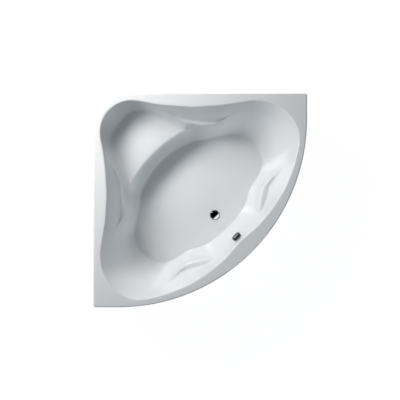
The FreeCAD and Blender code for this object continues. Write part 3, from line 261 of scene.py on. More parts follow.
def mix(p, q, t):
    """The point a share of the way from p to q."""
    return tuple(a + (b - a) * t for a, b in zip(p, q))


def near(p, towards, distance):
    """The point at a distance from p, but never too far along the run."""
    length = math.dist(p, towards)
    return mix(p, towards, min(REACH_SHARE, distance / length)) if length else p


def section(angle):
    """Control points (radius, drop) of the wall on the ray at an angle, rim to floor."""
    rim = (along(RIM_EDGE, angle), 0.0)
    foot = (along(FLOOR_EDGE, angle), BASIN_DEPTH - FLOOR_FALL)
    seat = 1 - ease(angle, *SEAT_OUT)
    arm = ease(angle, *ARM_IN) * (1 - ease(angle, *ARM_OUT))
    dent = ease(angle, *DENT_IN) * (1 - ease(angle, *DENT_OUT))
    back = mix(mix(rim, foot, PLAIN_BACK), (along(SEAT_BACK, angle), SEAT_DROP), seat)
    nose = mix(mix(rim, foot, PLAIN_NOSE), (along(SEAT_NOSE, angle), SEAT_DROP), seat)
    arm_drop = ARM_DROP * along(ARM_LEVEL, angle)
    dent_drop = DENT_DROP * along(DENT_LEVEL, angle)
    hollow = mix(mix(rim, back, PLAIN_HOLLOW), (along(ARM_FOOT, angle), arm_drop + ARM_HOLLOW), arm)
    hollow = mix(hollow, (along(DENT_FOOT, angle), dent_drop + DENT_HOLLOW), dent)
    crest = mix(mix(rim, back, PLAIN_CREST), (along(ARM_CREST, angle), arm_drop), arm)
    crest = mix(crest, (along(DENT_LIP, angle), dent_drop), dent)
    below = max(arm * (1 - seat), dent)
    back = mix(back, mix(crest, foot, BELOW_BACK), below)
    nose = mix(nose, mix(crest, foot, BELOW_NOSE), below)
    points = [(rim[0] + outward, down) for outward, down in RIM_ROLL]
    brow = (along(ARM_FOOT, angle) + ARM_BROW, arm_drop / 2)
    points.append(mix(mix(points[-1], hollow, 0.5), brow, arm))
    corners = [rim, hollow, crest, back, nose, foot]
    reaches = [*CORNER_REACH, along(FOOT_REACH, angle)]
    for before, here, after, reach, onward, shares in zip(corners, corners[1:], corners[2:],
                                                          reaches, reaches[1:], BETWEEN):
        # The further points are spaced between the rounding points, or a short run would step back.
        start, end = near(here, after, reach), near(after, here, onward)
        points += [near(here, before, reach), start]
        points += [mix(start, end, share) for share in shares]
    return points + [near(foot, nose, reaches[-1]), foot]


# %% The net of control points
COLUMNS = 96
FLOOR_SHARES = (0.35, 0.6, 0.85)
DRAIN_RINGS = (58, 48, 37, 27, 26)       # radii of the flat round the waste hole


def place(across, ahead, drop):
    """Point in the frame from its distances, in mm, across and along the diagonal and down."""
    return Vector((-HALF + (ahead + across) * MM * math.sqrt(0.5),
                   HALF - (ahead - across) * MM * math.sqrt(0.5), RIM - drop * MM))


def basin_column(k):
    """Control points on one ray, from the rim to the waste hole."""
    angle = 360.0 * k / COLUMNS
    mirrored = min(angle, 360 - angle)
    side, front = math.sin(math.radians(angle)), -math.cos(math.radians(angle))
    column = [(radius * side, POLE + radius * front, drop) for radius, drop in section(mirrored)]
    edge = column[-1]
    flat = (DRAIN_RINGS[1] * side, WASTE + DRAIN_RINGS[1] * front, BASIN_DEPTH)
    column.append(near(edge, flat, along(FOOT_REACH, mirrored)))
    column += [mix(edge, flat, share) for share in FLOOR_SHARES]
    column += [(r * side, WASTE + r * front, BASIN_DEPTH) for r in DRAIN_RINGS]
    return [place(*point) for point in column]


def basin_net():
    """The columns of all rays, joined by faces."""
    net = bmesh.new()
    columns = [[net.verts.new(point) for point in basin_column(k)] for k in range(COLUMNS)]
    for left, right in zip(columns, columns[1:] + columns[:1]):
        for j in range(len(left) - 1):
            net.faces.new((left[j], left[j + 1], right[j + 1], right[j]))
    return mesh_of(net, "bath_shell_skin")


skin = link_object("bath_shell_skin", basin_net(), ACRYLIC)
print("net:", len(skin.data.vertices), "points in", COLUMNS, "columns")

# %% [markdown]
# ## Deck and lip
# Round the basin lies the flat deck, and its edge turns down in a lip that stiffens the sheet and
# lets the tiles come close. The deck is flat, so how it is cut into triangles doesn't show, as long as
# the first ring outside it is flat too: otherwise the rounded lip would tilt the shading far into the
# deck. Solidify then gives the whole sheet its thickness, and a Boolean drills the overflow.

# %% The outline of the bath and the rings of its lip
CORNER_R = 14.0
END_LENGTH = 164.0
LIP_ROUND = 11.0
LIP_DROP = 45.0
SHEET = 4.0
ARC_STEPS = 112
CORNER_STEPS = 10
LIP_STEPS = 8


def outline(inset, drop):
    """Points round the plan, moved in by a distance: three rounded corners and the front arc."""
    edge = HALF - inset * MM
    r = max(CORNER_R - inset, 1.0) * MM
    bend = HALF - END_LENGTH * MM
    big = 2 * HALF - (END_LENGTH + inset) * MM
    turns = [((edge - r, edge - r), r, 90, 0, CORNER_STEPS),
             ((-bend, bend), big, 0, -90, ARC_STEPS),
             ((-edge + r, -edge + r), r, -90, -180, CORNER_STEPS),
             ((-edge + r, edge - r), r, 180, 90, CORNER_STEPS)]
    points = []
    for (x, y), radius, first, last, steps in turns:
        for k in range(steps + 1):
            turn = math.radians(first + (last - first) * k / steps)
            points.append(Vector((x + radius * math.cos(turn), y + radius * math.sin(turn),
                                  RIM - drop * MM)))
    return points


def lip_rings():
    """(inset, drop) of the rings from the flat deck round the edge and down."""
    rings = [(LIP_ROUND + 2.0, 0.0)]
    for k in range(LIP_STEPS + 1):
        turn = math.radians(90 * k / LIP_STEPS)
        rings.append((LIP_ROUND * (1 - math.sin(turn)), LIP_ROUND * (1 - math.cos(turn))))
    return rings + [(0.0, LIP_ROUND + 2), (0.0, LIP_DROP - 2), (0.4, LIP_DROP - 0.6), (1.4, LIP_DROP)]


print("rings in the lip:", len(lip_rings()), " points in each:", len(outline(0, 0)))

# %% Join basin, deck and lip
SKIN_LEVELS = 2


def edge_ring(mesh, height):
    """The open edges of a mesh that lie at a height."""
    return [edge for edge in mesh.edges
            if edge.is_boundary and all(abs(v.co.z - height) < 1e-6 for v in edge.verts)]


subdivide = skin.modifiers.new("smooth", "SUBSURF")
subdivide.levels = subdivide.render_levels = SKIN_LEVELS
settled(skin)
sheet = bmesh.new()
sheet.from_mesh(skin.data)
inner = edge_ring(sheet, RIM)
rings = [[sheet.verts.new(point) for point in outline(*ring)] for ring in lip_rings()]
first = [sheet.edges.new((a, b)) for a, b in zip(rings[0], rings[0][1:] + rings[0][:1])]
bmesh.ops.triangle_fill(sheet, use_beauty=True, edges=inner + first, normal=(0, 0, 1))
for upper, lower in zip(rings, rings[1:]):
    for k in range(len(upper)):
        m = (k + 1) % len(upper)
        sheet.faces.new((upper[k], upper[m], lower[m], lower[k]))
bmesh.ops.recalc_face_normals(sheet, faces=sheet.faces)
if sum(face.normal.z for face in sheet.faces) < 0:
    bmesh.ops.reverse_faces(sheet, faces=sheet.faces)
sheet.to_mesh(skin.data)
sheet.free()
print("skin:", len(skin.data.polygons), "faces")

# %% Give the sheet its thickness and drill the overflow
OVERFLOW_HOLE_R, DRILL_REACH = 21.0, 30.0
knob_joint = next(joint for joint in frame["joints"] if joint["name"] == "knob_turn")
WALL_POINT = Vector(knob_joint["pos_m"])
WALL_OUT = Vector(knob_joint["axis"]).normalized()


def cutter(name, radius, start, end, steps=96):
    """A closed cylinder between two points, to cut with."""
    made = bmesh.new()
    turn = (end - start).to_track_quat("Z", "Y").to_matrix().to_4x4()
    turn.translation = (start + end) / 2
    bmesh.ops.create_cone(made, cap_ends=True, segments=steps, radius1=radius, radius2=radius,
                          depth=(end - start).length, matrix=turn)
    return link_object(name, mesh_of(made, name), ACRYLIC)


shell = link_object("acrylic_shell", skin.data.copy(), ACRYLIC)
wall = shell.modifiers.new("thickness", "SOLIDIFY")
wall.thickness = SHEET * MM
wall.offset = -1
wall.use_even_offset = False
settled(shell)
drill = cutter("overflow_drill", OVERFLOW_HOLE_R * MM, WALL_POINT - WALL_OUT * DRILL_REACH * MM,
               WALL_POINT + WALL_OUT * DRILL_REACH * MM)
cut = shell.modifiers.new("overflow", "BOOLEAN")
cut.object = drill
cut.solver = "EXACT"
settled(shell, sharp=60)
bpy.data.objects.remove(drill)
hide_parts("bath_shell")
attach(shell, "root")
print("shell:", len(shell.data.polygons), "faces")
bpy.data.objects.remove(skin)

# %% [markdown]
# ## Grained finishes
# Moulded plastic, rubber and plated metal differ in colour and gloss, but all of them owe their look
# to the same two things: a slow drift of colour and a fine unevenness of the surface. One function
# makes them all from two noises, and each finish gives its own colours, scale and gloss.

# %% One recipe for moulded and plated surfaces
def ramp(tree, factor, *colours):
    """Colour by a factor, through evenly spaced colours."""
    made = node(tree, "ShaderNodeValToRGB", Fac=factor)
    elements = made.color_ramp.elements
    while len(elements) < len(colours):
        elements.new(0.5)
    for k, colour in enumerate(colours):
        elements[k].position = k / (len(colours) - 1)
        elements[k].color = (*colour, 1)
    return made.outputs["Color"]


def grained(name, dark, light, scale, rough, depth, stretch=(1, 1, 1), **values):
    """Colour from a broad noise, gloss and relief from a fine one of a scale per metre."""
    material, tree, principled = shader(name, **values)
    spot = node(tree, "ShaderNodeTexCoord").outputs["Object"]
    laid = node(tree, "ShaderNodeMapping", Vector=spot, Scale=stretch).outputs["Vector"]
    broad = node(tree, "ShaderNodeTexNoise", Vector=laid, Scale=scale / 12, Detail=3.0)
    fine = node(tree, "ShaderNodeTexNoise", Vector=laid, Scale=scale, Detail=4.0)
    tree.links.new(ramp(tree, broad.outputs["Fac"], dark, light), principled.inputs["Base Color"])
    gloss = node(tree, "ShaderNodeMapRange", in0=fine.outputs["Fac"], in3=rough[0], in4=rough[1])
    tree.links.new(gloss.outputs[0], principled.inputs["Roughness"])
    bump = node(tree, "ShaderNodeBump", Strength=0.3, Distance=depth, Height=fine.outputs["Fac"])
    tree.links.new(bump.outputs["Normal"], principled.inputs["Normal"])
    return material


FINISH = {
    "acrylic": ACRYLIC,
    "foot_plastic": grained("foot_plastic", (0.018, 0.018, 0.02), (0.04, 0.04, 0.043), 900,
                            (0.45, 0.65), 0.0004),
    "cap_plastic": grained("cap_plastic", (0.78, 0.80, 0.81), (0.84, 0.85, 0.86), 600,
                           (0.25, 0.4), 0.0001, Coat_Weight=0.2),
    "seal_rubber": grained("seal_rubber", (0.012, 0.012, 0.013), (0.03, 0.03, 0.031), 700,
                           (0.6, 0.85), 0.0003),
    "white_fittings": grained("white_fittings", (0.68, 0.70, 0.69), (0.80, 0.81, 0.79), 420,
                              (0.3, 0.5), 0.0003),
    "grey_fittings": grained("grey_fittings", (0.22, 0.23, 0.24), (0.33, 0.34, 0.35), 500,
                             (0.4, 0.6), 0.0003),
    "black_fittings": grained("black_fittings", (0.02, 0.02, 0.022), (0.045, 0.045, 0.047), 800,
                              (0.3, 0.5), 0.0003),
    "cable_jacket": grained("cable_jacket", (0.03, 0.03, 0.033), (0.06, 0.06, 0.063), 1200,
                            (0.4, 0.6), 0.0003),
    "chrome": grained("chrome", (0.80, 0.81, 0.83), (0.88, 0.89, 0.90), 240, (0.04, 0.10), 0.00002,
                      Metallic=1.0),
    # The knob's chrome is painted dark: this dark colour is a painted reflection, not a tint of the metal.
    "dark_chrome": grained("dark_chrome", (0.045, 0.047, 0.05), (0.075, 0.078, 0.083), 240, (0.05, 0.12),
                           0.00002, Metallic=1.0),
    "stainless": grained("stainless", (0.50, 0.50, 0.50), (0.64, 0.64, 0.63), 900, (0.2, 0.4), 0.0001,
                         stretch=(1, 1, 0.1), Metallic=1.0),
    "brass": grained("brass", (0.56, 0.40, 0.15), (0.74, 0.57, 0.27), 700, (0.2, 0.38), 0.0001,
                     stretch=(1, 1, 0.15), Metallic=1.0)}
print("finishes:", ", ".join(FINISH))

# %% [markdown]
# ## Timber, board, resin and zinc
# Under the shell nothing is polished. Chipboard shows its pressed flakes, sawn softwood its growth
# lines, the sprayed backing its chopped strands, and galvanised steel its crystals, called spangle.
# A Voronoi texture has cells, which is what flakes and crystals are. Lines come from a noise that is
# squeezed along one direction, and crossing strands from three of those turned against each other.

# %% Chipboard, softwood, fibreglass and zinc
def rough_surface(name, scale, depth, **values):
    """A shader with object coordinates, and a function that finishes its colour and relief."""
    material, tree, principled = shader(name, **values)
    spot = node(tree, "ShaderNodeTexCoord").outputs["Object"]

    def finish(factor, *colours):
        tree.links.new(ramp(tree, factor, *colours), principled.inputs["Base Color"])
        grit = node(tree, "ShaderNodeTexNoise", Vector=spot, Scale=scale, Detail=4.0)
        both = node(tree, "ShaderNodeMath", "ADD", in0=factor, in1=grit.outputs["Fac"])
        bump = node(tree, "ShaderNodeBump", Strength=0.5, Distance=depth, Height=both.outputs[0])
        tree.links.new(bump.outputs["Normal"], principled.inputs["Normal"])
        return material

    return tree, spot, finish


def chipboard():
    tree, spot, finish = rough_surface("chipboard", 500, 0.0006, Roughness=0.85)
    wavy = node(tree, "ShaderNodeTexNoise", Vector=spot, Scale=60.0, Detail=2.0)
    drift = node(tree, "ShaderNodeVectorMath", "MULTIPLY_ADD", in0=wavy.outputs["Color"],
                 in1=(0.02, 0.02, 0.02), in2=spot)
    flakes = node(tree, "ShaderNodeTexVoronoi", Vector=drift.outputs[0], Scale=210.0)
    return finish(flakes.outputs["Color"], (0.30, 0.20, 0.11), (0.48, 0.35, 0.21), (0.62, 0.49, 0.32))


def softwood():
    tree, spot, finish = rough_surface("softwood", 700, 0.0004, Roughness=0.75)
    rings = node(tree, "ShaderNodeTexWave", Vector=spot, Scale=55.0, Distortion=7.0, Detail=3.0)
    rings.bands_direction = "Z"
    rings.inputs["Detail Scale"].default_value = 0.25
    return finish(rings.outputs["Fac"], (0.60, 0.40, 0.20), (0.72, 0.53, 0.30), (0.76, 0.59, 0.37))


def fibreglass():
    tree, spot, finish = rough_surface("fibreglass", 260, 0.0012, Roughness=0.5, Coat_Weight=0.3)
    strands = None
    for k in range(3):
        turned = node(tree, "ShaderNodeMapping", Vector=spot, Rotation=(0.5 * k, 0.4 * k, 1.05 * k),
                      Scale=(1.0, 14.0, 9.0)).outputs["Vector"]
        laid = node(tree, "ShaderNodeTexNoise", Vector=turned, Scale=26.0, Detail=2.0).outputs["Fac"]
        strands = laid if strands is None else node(tree, "ShaderNodeMath", "MAXIMUM", in0=strands,
                                                    in1=laid).outputs[0]
    return finish(strands, (0.44, 0.44, 0.34), (0.66, 0.66, 0.55), (0.80, 0.80, 0.72))


def zinc_steel():
    tree, spot, finish = rough_surface("zinc_steel", 900, 0.0001, Roughness=0.38, Metallic=1.0)
    spangle = node(tree, "ShaderNodeTexVoronoi", Vector=spot, Scale=130.0)
    return finish(spangle.outputs["Color"], (0.48, 0.50, 0.53), (0.60, 0.62, 0.64), (0.70, 0.72, 0.73))


FINISH |= {"chipboard": chipboard(), "softwood": softwood(), "fibreglass": fibreglass(),
           "zinc_steel": zinc_steel()}

# %% Every piece of the construction in its finish
SLOT = {part["node"]: part["material_slot"] for part in frame["record"]["subparts"]}
for name, cad in frame["nodes"].items():
    cad.data.materials.clear()
    cad.data.materials.append(FINISH[SLOT[name]])
print("dressed:", len(SLOT), "nodes in", len(set(SLOT.values())), "finishes")

# %% [markdown]
# ## Turned and moulded fittings
# The plug, the knob, the pads of the feet and the heads of the screws are round. Such a piece is
# drawn as half its section and turned about its axis. `bmesh` could spin it, but a loop over rings
# of points is as short and leaves no seam to merge. A Bevel modifier then breaks the edges of all
# but the small screw heads, because a real edge always carries a thin highlight.

# %% A lathe
LATHE_STEPS = 96


def lathe(name, profile, spot, axis, slot, body, edge=0.3, steps=LATHE_STEPS, finish=None):
    turn = axis.to_track_quat("Z", "Y").to_matrix().to_4x4()
    turn.translation = spot
    made = bmesh.new()
    rows = []
    for radius, height in profile:
        count = steps if radius > 0 else 1
        rows.append([made.verts.new(turn @ Vector((radius * MM * math.cos(2 * math.pi * k / steps),
                                                   radius * MM * math.sin(2 * math.pi * k / steps),
                                                   height * MM))) for k in range(count)])
    for lower, upper in zip(rows, rows[1:]):
        for k in range(steps):
            m = (k + 1) % steps
            corners = (lower[k % len(lower)], lower[m % len(lower)], upper[m % len(upper)],
                       upper[k % len(upper)])
            made.faces.new(list(dict.fromkeys(corners)))
    bmesh.ops.recalc_face_normals(made, faces=made.faces)
    piece = link_object(name, mesh_of(made, name), FINISH[finish or slot])
    if edge:
        bevel = piece.modifiers.new("edges", "BEVEL")
        bevel.width = edge * MM
        bevel.segments = 3
        bevel.limit_method = "ANGLE"
        bevel.angle_limit = math.radians(40)
    settled(piece, sharp=30)
    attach(piece, body)
    return piece


def dome(radius, rise, base, steps=12):
    """(radius, height) of a shallow cap from its edge to its top."""
    ball = (radius ** 2 + rise ** 2) / (2 * rise)
    return [(radius * (1 - k / steps),
             base + math.sqrt(ball ** 2 - (radius * (1 - k / steps)) ** 2) - ball + rise)
            for k in range(steps + 1)]


# %% The plug, closed over the waste's flange
UP = Vector((0, 0, 1))
WASTE_MIDDLE = place(0, WASTE, RIM / MM)
SEAL_T, FLANGE_T, PLUG_GAP = 1.5, 2.5, 0.3
PLUG_Z = RIM / MM - BASIN_DEPTH + SEAL_T + FLANGE_T + PLUG_GAP
PLUG_R, PLUG_T, PLUG_CROWN = 31.5, 5.0, 2.0
plug_section = [(0, PLUG_Z), (PLUG_R - 2, PLUG_Z), (PLUG_R, PLUG_Z + 1.0), (PLUG_R, PLUG_Z + 3.4),
                *dome(PLUG_R - 1.2, PLUG_CROWN, PLUG_Z + PLUG_T)]
plug = lathe("plug_top", plug_section, WASTE_MIDDLE, UP, "chrome", "plug", edge=0.5)
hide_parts("plug_cap")
print("plug:", len(plug.data.polygons), "faces, at", [round(c, 4) for c in WASTE_MIDDLE[:2]])

# %% The knob of the overflow, a cup open to the wall
KNOB_R, KNOB_BACK, KNOB_FRONT = 31.0, 8.5, 27.0
KNOB_WALL, KNOB_CROWN = 2.5, 0.5
knob_section = [(0, KNOB_FRONT - KNOB_WALL), (KNOB_R - KNOB_WALL, KNOB_FRONT - KNOB_WALL),
                (KNOB_R - KNOB_WALL, KNOB_BACK), (KNOB_R, KNOB_BACK), (KNOB_R, KNOB_FRONT - 1.2),
                (KNOB_R - 0.4, KNOB_FRONT - 0.4),
                *dome(KNOB_R - 1.2, KNOB_CROWN, KNOB_FRONT - KNOB_CROWN)]
# Its chrome is painted dark: the dark colour is a painted reflection of dark surroundings, not a tint of the
# metal.
knob = lathe("knob_shell", knob_section, WALL_POINT, WALL_OUT, "chrome", "knob", finish="dark_chrome")
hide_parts("overflow_knob")
print("knob:", len(knob.data.polygons), "faces")

# %% [markdown]
# ## Growing pieces from trees
# What repeats, or follows a path, is a rule, and Geometry Nodes hold rules well: a tree is wired once
# and fed other sizes for each use. A modifier runs it, its inputs set by their identifiers, and the
# result is turned into plain mesh. The first tree here only shades: the construction's own pieces
# come as loose flat triangles, so it joins them and smooths every edge that isn't a real corner.

# %% Trees and the pieces grown from them
def new_tree(name, **inputs):
    """A tree with a geometry output; returns it, its inputs by name, and its output socket."""
    tree = bpy.data.node_groups.new(name, "GeometryNodeTree")
    tree.interface.new_socket("Geometry", in_out="OUTPUT", socket_type="NodeSocketGeometry")
    for label, kind in inputs.items():
        tree.interface.new_socket(label.replace("_", " "), in_out="INPUT",
                                  socket_type="NodeSocket" + kind)
    group = tree.nodes.new("NodeGroupInput")
    return tree, group.outputs, tree.nodes.new("NodeGroupOutput").inputs[0]


def run_tree(piece, tree, **values):
    """Adds the tree to a piece, with its inputs set by identifier."""
    modifier = piece.modifiers.new(tree.name, "NODES")
    modifier.node_group = tree
    keys = {item.name: item.identifier for item in tree.interface.items_tree if item.in_out == "INPUT"}
    for label, value in values.items():
        modifier[keys[label.replace("_", " ")]] = value


def finish_tree(tree, geometry, material, result):
    """Every tree that makes a piece ends so: real geometry, in its material."""
    real = node(tree, "GeometryNodeRealizeInstances", in0=geometry)
    done = node(tree, "GeometryNodeSetMaterial", in0=real.outputs[0], Material=material)
    tree.links.new(done.outputs[0], result)


def shading_tree():
    tree, given, result = new_tree("round_shading", Geometry="Geometry", Corner="Float")
    joined = node(tree, "GeometryNodeMergeByDistance", in0=given["Geometry"], Distance=0.00001)
    smooth = node(tree, "GeometryNodeSetShadeSmooth", in0=joined.outputs[0], in2=True)
    bend = tree.nodes.new("GeometryNodeInputMeshEdgeAngle").outputs[0]
    corner = node(tree, "FunctionNodeCompare", "GREATER_THAN", in0=bend, in1=given["Corner"])
    edges = node(tree, "GeometryNodeSetShadeSmooth", in0=smooth.outputs[0], in1=corner.outputs[0],
                 in2=False)
    edges.domain = "EDGE"
    tree.links.new(edges.outputs[0], result)
    return tree


ROUND_SHADING = shading_tree()
for name, cad in frame["nodes"].items():
    if not cad.hide_render:
        run_tree(cad, ROUND_SHADING, Corner=math.radians(32))
print("smoothed:", sum(1 for cad in frame["nodes"].values() if cad.modifiers), "nodes")

# %% [markdown]
# ## Hose and cable
# The corrugated hose takes the overflow's water to the waste, and a thin cable in a jacket takes the
# turn of the knob there. Both are a fixed length of something flexible, so both follow one smooth
# spline through a few given points. The hose's ribs are a rule along that line: its radius
# is a wave of the distance travelled, fed to Curve to Mesh as a scale.

# %% The line of a cord
def cord_line(name, points):
    """A smooth open spline with these control points, as a curve object."""
    curve = bpy.data.curves.new(name, "CURVE")
    curve.dimensions = "3D"
    curve.resolution_u = 24
    spline = curve.splines.new("NURBS")
    spline.points.add(len(points) - 1)
    for control, point in zip(spline.points, points):
        control.co = (*point, 1)
    spline.order_u = 3
    spline.use_endpoint_u = True
    piece = bpy.data.objects.new(name, curve)
    bpy.context.scene.collection.objects.link(piece)
    return piece


def line_points(piece):
    """The points of a curve's line, read from it as a mesh."""
    bpy.context.view_layer.update()
    graph = bpy.context.evaluated_depsgraph_get()
    mesh = bpy.data.meshes.new_from_object(piece.evaluated_get(graph))
    points = [vertex.co.copy() for vertex in mesh.vertices]
    bpy.data.meshes.remove(mesh)
    return points


def length_of(points):
    """The length of a line through these points."""
    return sum((b - a).length for a, b in zip(points, points[1:]))


def by_hand(route):
    """Points given across and along the diagonal, and above the waste."""
    return [place(across, ahead, BASIN_DEPTH - rise) for across, ahead, rise in route]


ELBOW_OUTLET = Vector((277.06, -277.06, 494.61)) * MM
WASTE_BRANCH = Vector((170.0, -104.0, 136.5)) * MM
HOSE_FIRST, HOSE_LAST = 75.0, 50.0       # straight out of the elbow, and straight into the waste
HOSE_ROUTE = [(25, 1380, 125), (78, 1350, 32), (112, 1290, -34)]
hose_line = cord_line("hose_line", [ELBOW_OUTLET, ELBOW_OUTLET - UP * HOSE_FIRST * MM,
                                    *by_hand(HOSE_ROUTE),
                                    WASTE_BRANCH + Vector((HOSE_LAST * MM, 0, 0)), WASTE_BRANCH])
hose_points = line_points(hose_line)
print("hose:", round(length_of(hose_points), 4), "m")

# %% The corrugated hose
HOSE_R, HOSE_LENGTH = 15.5, 510.0
RIB_PITCH, RIB_DEPTH = 3.6, 0.11         # the depth as a share of the hose's radius
STEPS_PER_RIB, HOSE_SIDES = 6, 40


def hose_tree():
    tree, given, result = new_tree("corrugated_hose", Line="Object", Radius="Float", Pitch="Float",
                                   Depth="Float", Material="Material")
    line = node(tree, "GeometryNodeObjectInfo", Object=given["Line"]).outputs["Geometry"]
    step = node(tree, "ShaderNodeMath", "DIVIDE", in0=given["Pitch"], in1=float(STEPS_PER_RIB))
    even = tree.nodes.new("GeometryNodeResampleCurve")
    even.mode = "LENGTH"
    tree.links.new(line, even.inputs["Curve"])
    tree.links.new(step.outputs[0], even.inputs["Length"])
    travelled = tree.nodes.new("GeometryNodeSplineParameter").outputs["Length"]
    turns = node(tree, "ShaderNodeMath", "DIVIDE", in0=travelled, in1=given["Pitch"])
    phase = node(tree, "ShaderNodeMath", "MULTIPLY", in0=turns.outputs[0], in1=2 * math.pi)
    wave = node(tree, "ShaderNodeMath", "COSINE", in0=phase.outputs[0])
    half = node(tree, "ShaderNodeMath", "MULTIPLY_ADD", in0=wave.outputs[0], in1=0.5, in2=-0.5)
    scale = node(tree, "ShaderNodeMath", "MULTIPLY_ADD", in0=half.outputs[0], in1=given["Depth"],
                 in2=1.0)
    circle = node(tree, "GeometryNodeCurvePrimitiveCircle", Resolution=HOSE_SIDES,
                  Radius=given["Radius"])
    tube = node(tree, "GeometryNodeCurveToMesh", Curve=even.outputs[0], Profile_Curve=circle.outputs[0],
                Scale=scale.outputs[0], Fill_Caps=True)
    finish_tree(tree, tube.outputs[0], given["Material"], result)
    return tree


hose = link_object("corrugated_hose", bpy.data.meshes.new("corrugated_hose"), FINISH["grey_fittings"])
run_tree(hose, hose_tree(), Line=hose_line, Radius=HOSE_R * MM, Pitch=RIB_PITCH * MM, Depth=RIB_DEPTH,
         Material=FINISH["grey_fittings"])
settled(hose, sharp=70)
bpy.data.objects.remove(hose_line)
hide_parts("overflow_hose")
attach(hose, "root")
print("hose:", len(hose.data.polygons), "faces in", round(HOSE_LENGTH / RIB_PITCH), "ribs")

# %% The cable
ACROSS = Vector((1, 1, 0)).normalized()
CABLE_R, CABLE_LENGTH = 3.0, 737.0
ELBOW_R, WASTE_BODY_R = 24.0, 34.0       # the cable leaves the elbow and the waste at their sides
GLAND_LENGTH, CABLE_STRAIGHT = 16.0, 45.0        # and runs straight through a gland and on
CABLE_HIGH = Vector((277.06, -277.06, 540.61)) * MM + ACROSS * ELBOW_R * MM
CABLE_LOW = Vector((104.0, -104.0, 130.5)) * MM + ACROSS * WASTE_BODY_R * MM
CABLE_ROUTE = [(132, 1395, 262), (172, 1388, 150), (206, 1345, 45), (206, 1272, -35), (150, 1190, -76)]
straight_end = ACROSS * (GLAND_LENGTH + CABLE_STRAIGHT) * MM
cable = cord_line("cable", [CABLE_HIGH, CABLE_HIGH + straight_end, *by_hand(CABLE_ROUTE),
                            CABLE_LOW + straight_end, CABLE_LOW])
print("cable:", round(length_of(line_points(cable)), 4), "m")
cable.data.bevel_depth = CABLE_R * MM
cable.data.bevel_resolution = 5
cable.data.use_fill_caps = True
cable.data.materials.append(FINISH["cable_jacket"])
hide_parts("bowden_cable")
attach(cable, "root")

# %% [markdown]
# ## Threads and screws
# A thread is one more rule: on a rod's surface the radius depends on height and angle together, so
# that the crest climbs by one pitch in each turn. The levelling feet have it over their whole stems.
# The nineteen screws are one modelled screw for each length, placed by Geometry Nodes: the points and
# the directions come from the frame's own screws, one point for each.

# %% Threaded rods
FLANK_FALL = 2.4         # thread depths that a flank falls in one pitch: over 2 leaves a flat root


def threaded(made, radius, depth, pitch, start, end, steps=20, per_turn=5):
    """Adds a rod with a thread, in mm, from one height to another, to a bmesh."""
    count = math.ceil((end - start) / pitch * per_turn)
    rows = []
    for j in range(count + 1):
        height = start + (end - start) * j / count
        row = []
        for k in range(steps):
            share = (height / pitch - k / steps) % 1.0
            r = radius - depth * min(1.0, FLANK_FALL * abs(share - 0.5))
            turn = 2 * math.pi * k / steps
            row.append(made.verts.new(Vector((r * math.cos(turn), r * math.sin(turn), height)) * MM))
        rows.append(row)
    for lower, upper in zip(rows, rows[1:]):
        for k in range(steps):
            m = (k + 1) % steps
            made.faces.new((lower[k], lower[m], upper[m], upper[k]))
    made.faces.new(rows[0][::-1])
    made.faces.new(rows[-1])


# %% Levelling feet
FEET = 5
STEM_R, STEM_BOTTOM, STEM_TOP, STEM_PITCH, STEM_DEPTH = 6.0, 6.3, 164.7, 1.75, 0.95
PAD = [(0, 0), (30.5, 0), (32, 1.5), (32, 4.4), (31, 5.0), (17, 8.2), (14.2, 10.0), (13, 15.2),
       (12.2, 16), (6.4, 16), (6.4, 6.2), (0, 6.2)]
PAD_FINS, FIN_HALF = 8, 1.3
FIN_SIDE = ((12.5, 5.5), (29.0, 4.0), (29.5, 6.2), (13.2, 13.5))     # (radius, height) of its corners


def foot_fins(name, spot):
    """The radial fins that stiffen a pad, each a wedge from its hub to its rim."""
    made = bmesh.new()
    for k in range(PAD_FINS):
        turn = Matrix.Rotation(2 * math.pi * k / PAD_FINS, 3, "Z")
        sides = [[made.verts.new(spot + turn @ (Vector((x, side, z)) * MM)) for x, z in FIN_SIDE]
                 for side in (-FIN_HALF, FIN_HALF)]
        made.faces.new(sides[0])
        made.faces.new(sides[1][::-1])
        for j in range(len(FIN_SIDE)):
            made.faces.new((sides[0][j], sides[0][j - 1], sides[1][j - 1], sides[1][j]))
    bmesh.ops.recalc_face_normals(made, faces=made.faces)
    return link_object(name, mesh_of(made, name), FINISH["foot_plastic"])


for k in range(1, FEET + 1):
    low, high = (Vector(corner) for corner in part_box("foot_stem_%d" % k))
    spot = Vector(((low.x + high.x) / 2, (low.y + high.y) / 2, 0))
    stem = bmesh.new()
    threaded(stem, STEM_R, STEM_DEPTH, STEM_PITCH, STEM_BOTTOM, STEM_TOP)
    bmesh.ops.translate(stem, verts=stem.verts, vec=spot)
    rod = link_object("threaded_stem_%d" % k, mesh_of(stem, "threaded_stem_%d" % k), FINISH["zinc_steel"])
    settled(rod, sharp=80)
    pad = lathe("levelling_pad_%d" % k, PAD, spot, UP, "foot_plastic", "foot_%d" % k, steps=64)
    fins = foot_fins("pad_fins_%d" % k, spot)
    for piece, slot in ((rod, "zinc_steel"), (fins, "foot_plastic")):
        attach(piece, "foot_%d" % k)
    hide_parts("foot_stem_%d" % k)
    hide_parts("foot_pad_%d" % k)
print(FEET, "feet: stem", len(rod.data.polygons), "faces, pad", len(pad.data.polygons), "faces")

# %% One screw
SHANK_R, HEAD_R, HEAD_H = 2.0, 4.5, 2.0
THREAD_DEPTH, THREAD_PITCH = 0.55, 1.8
TIP_LENGTH, TIP_BASE_R, TIP_R = 2.5, 1.5, 0.1
RECESS_WIDTH, RECESS_REACH, RECESS_DEEP = 0.9, 2.6, 1.3      # half sizes of one bar of the cross


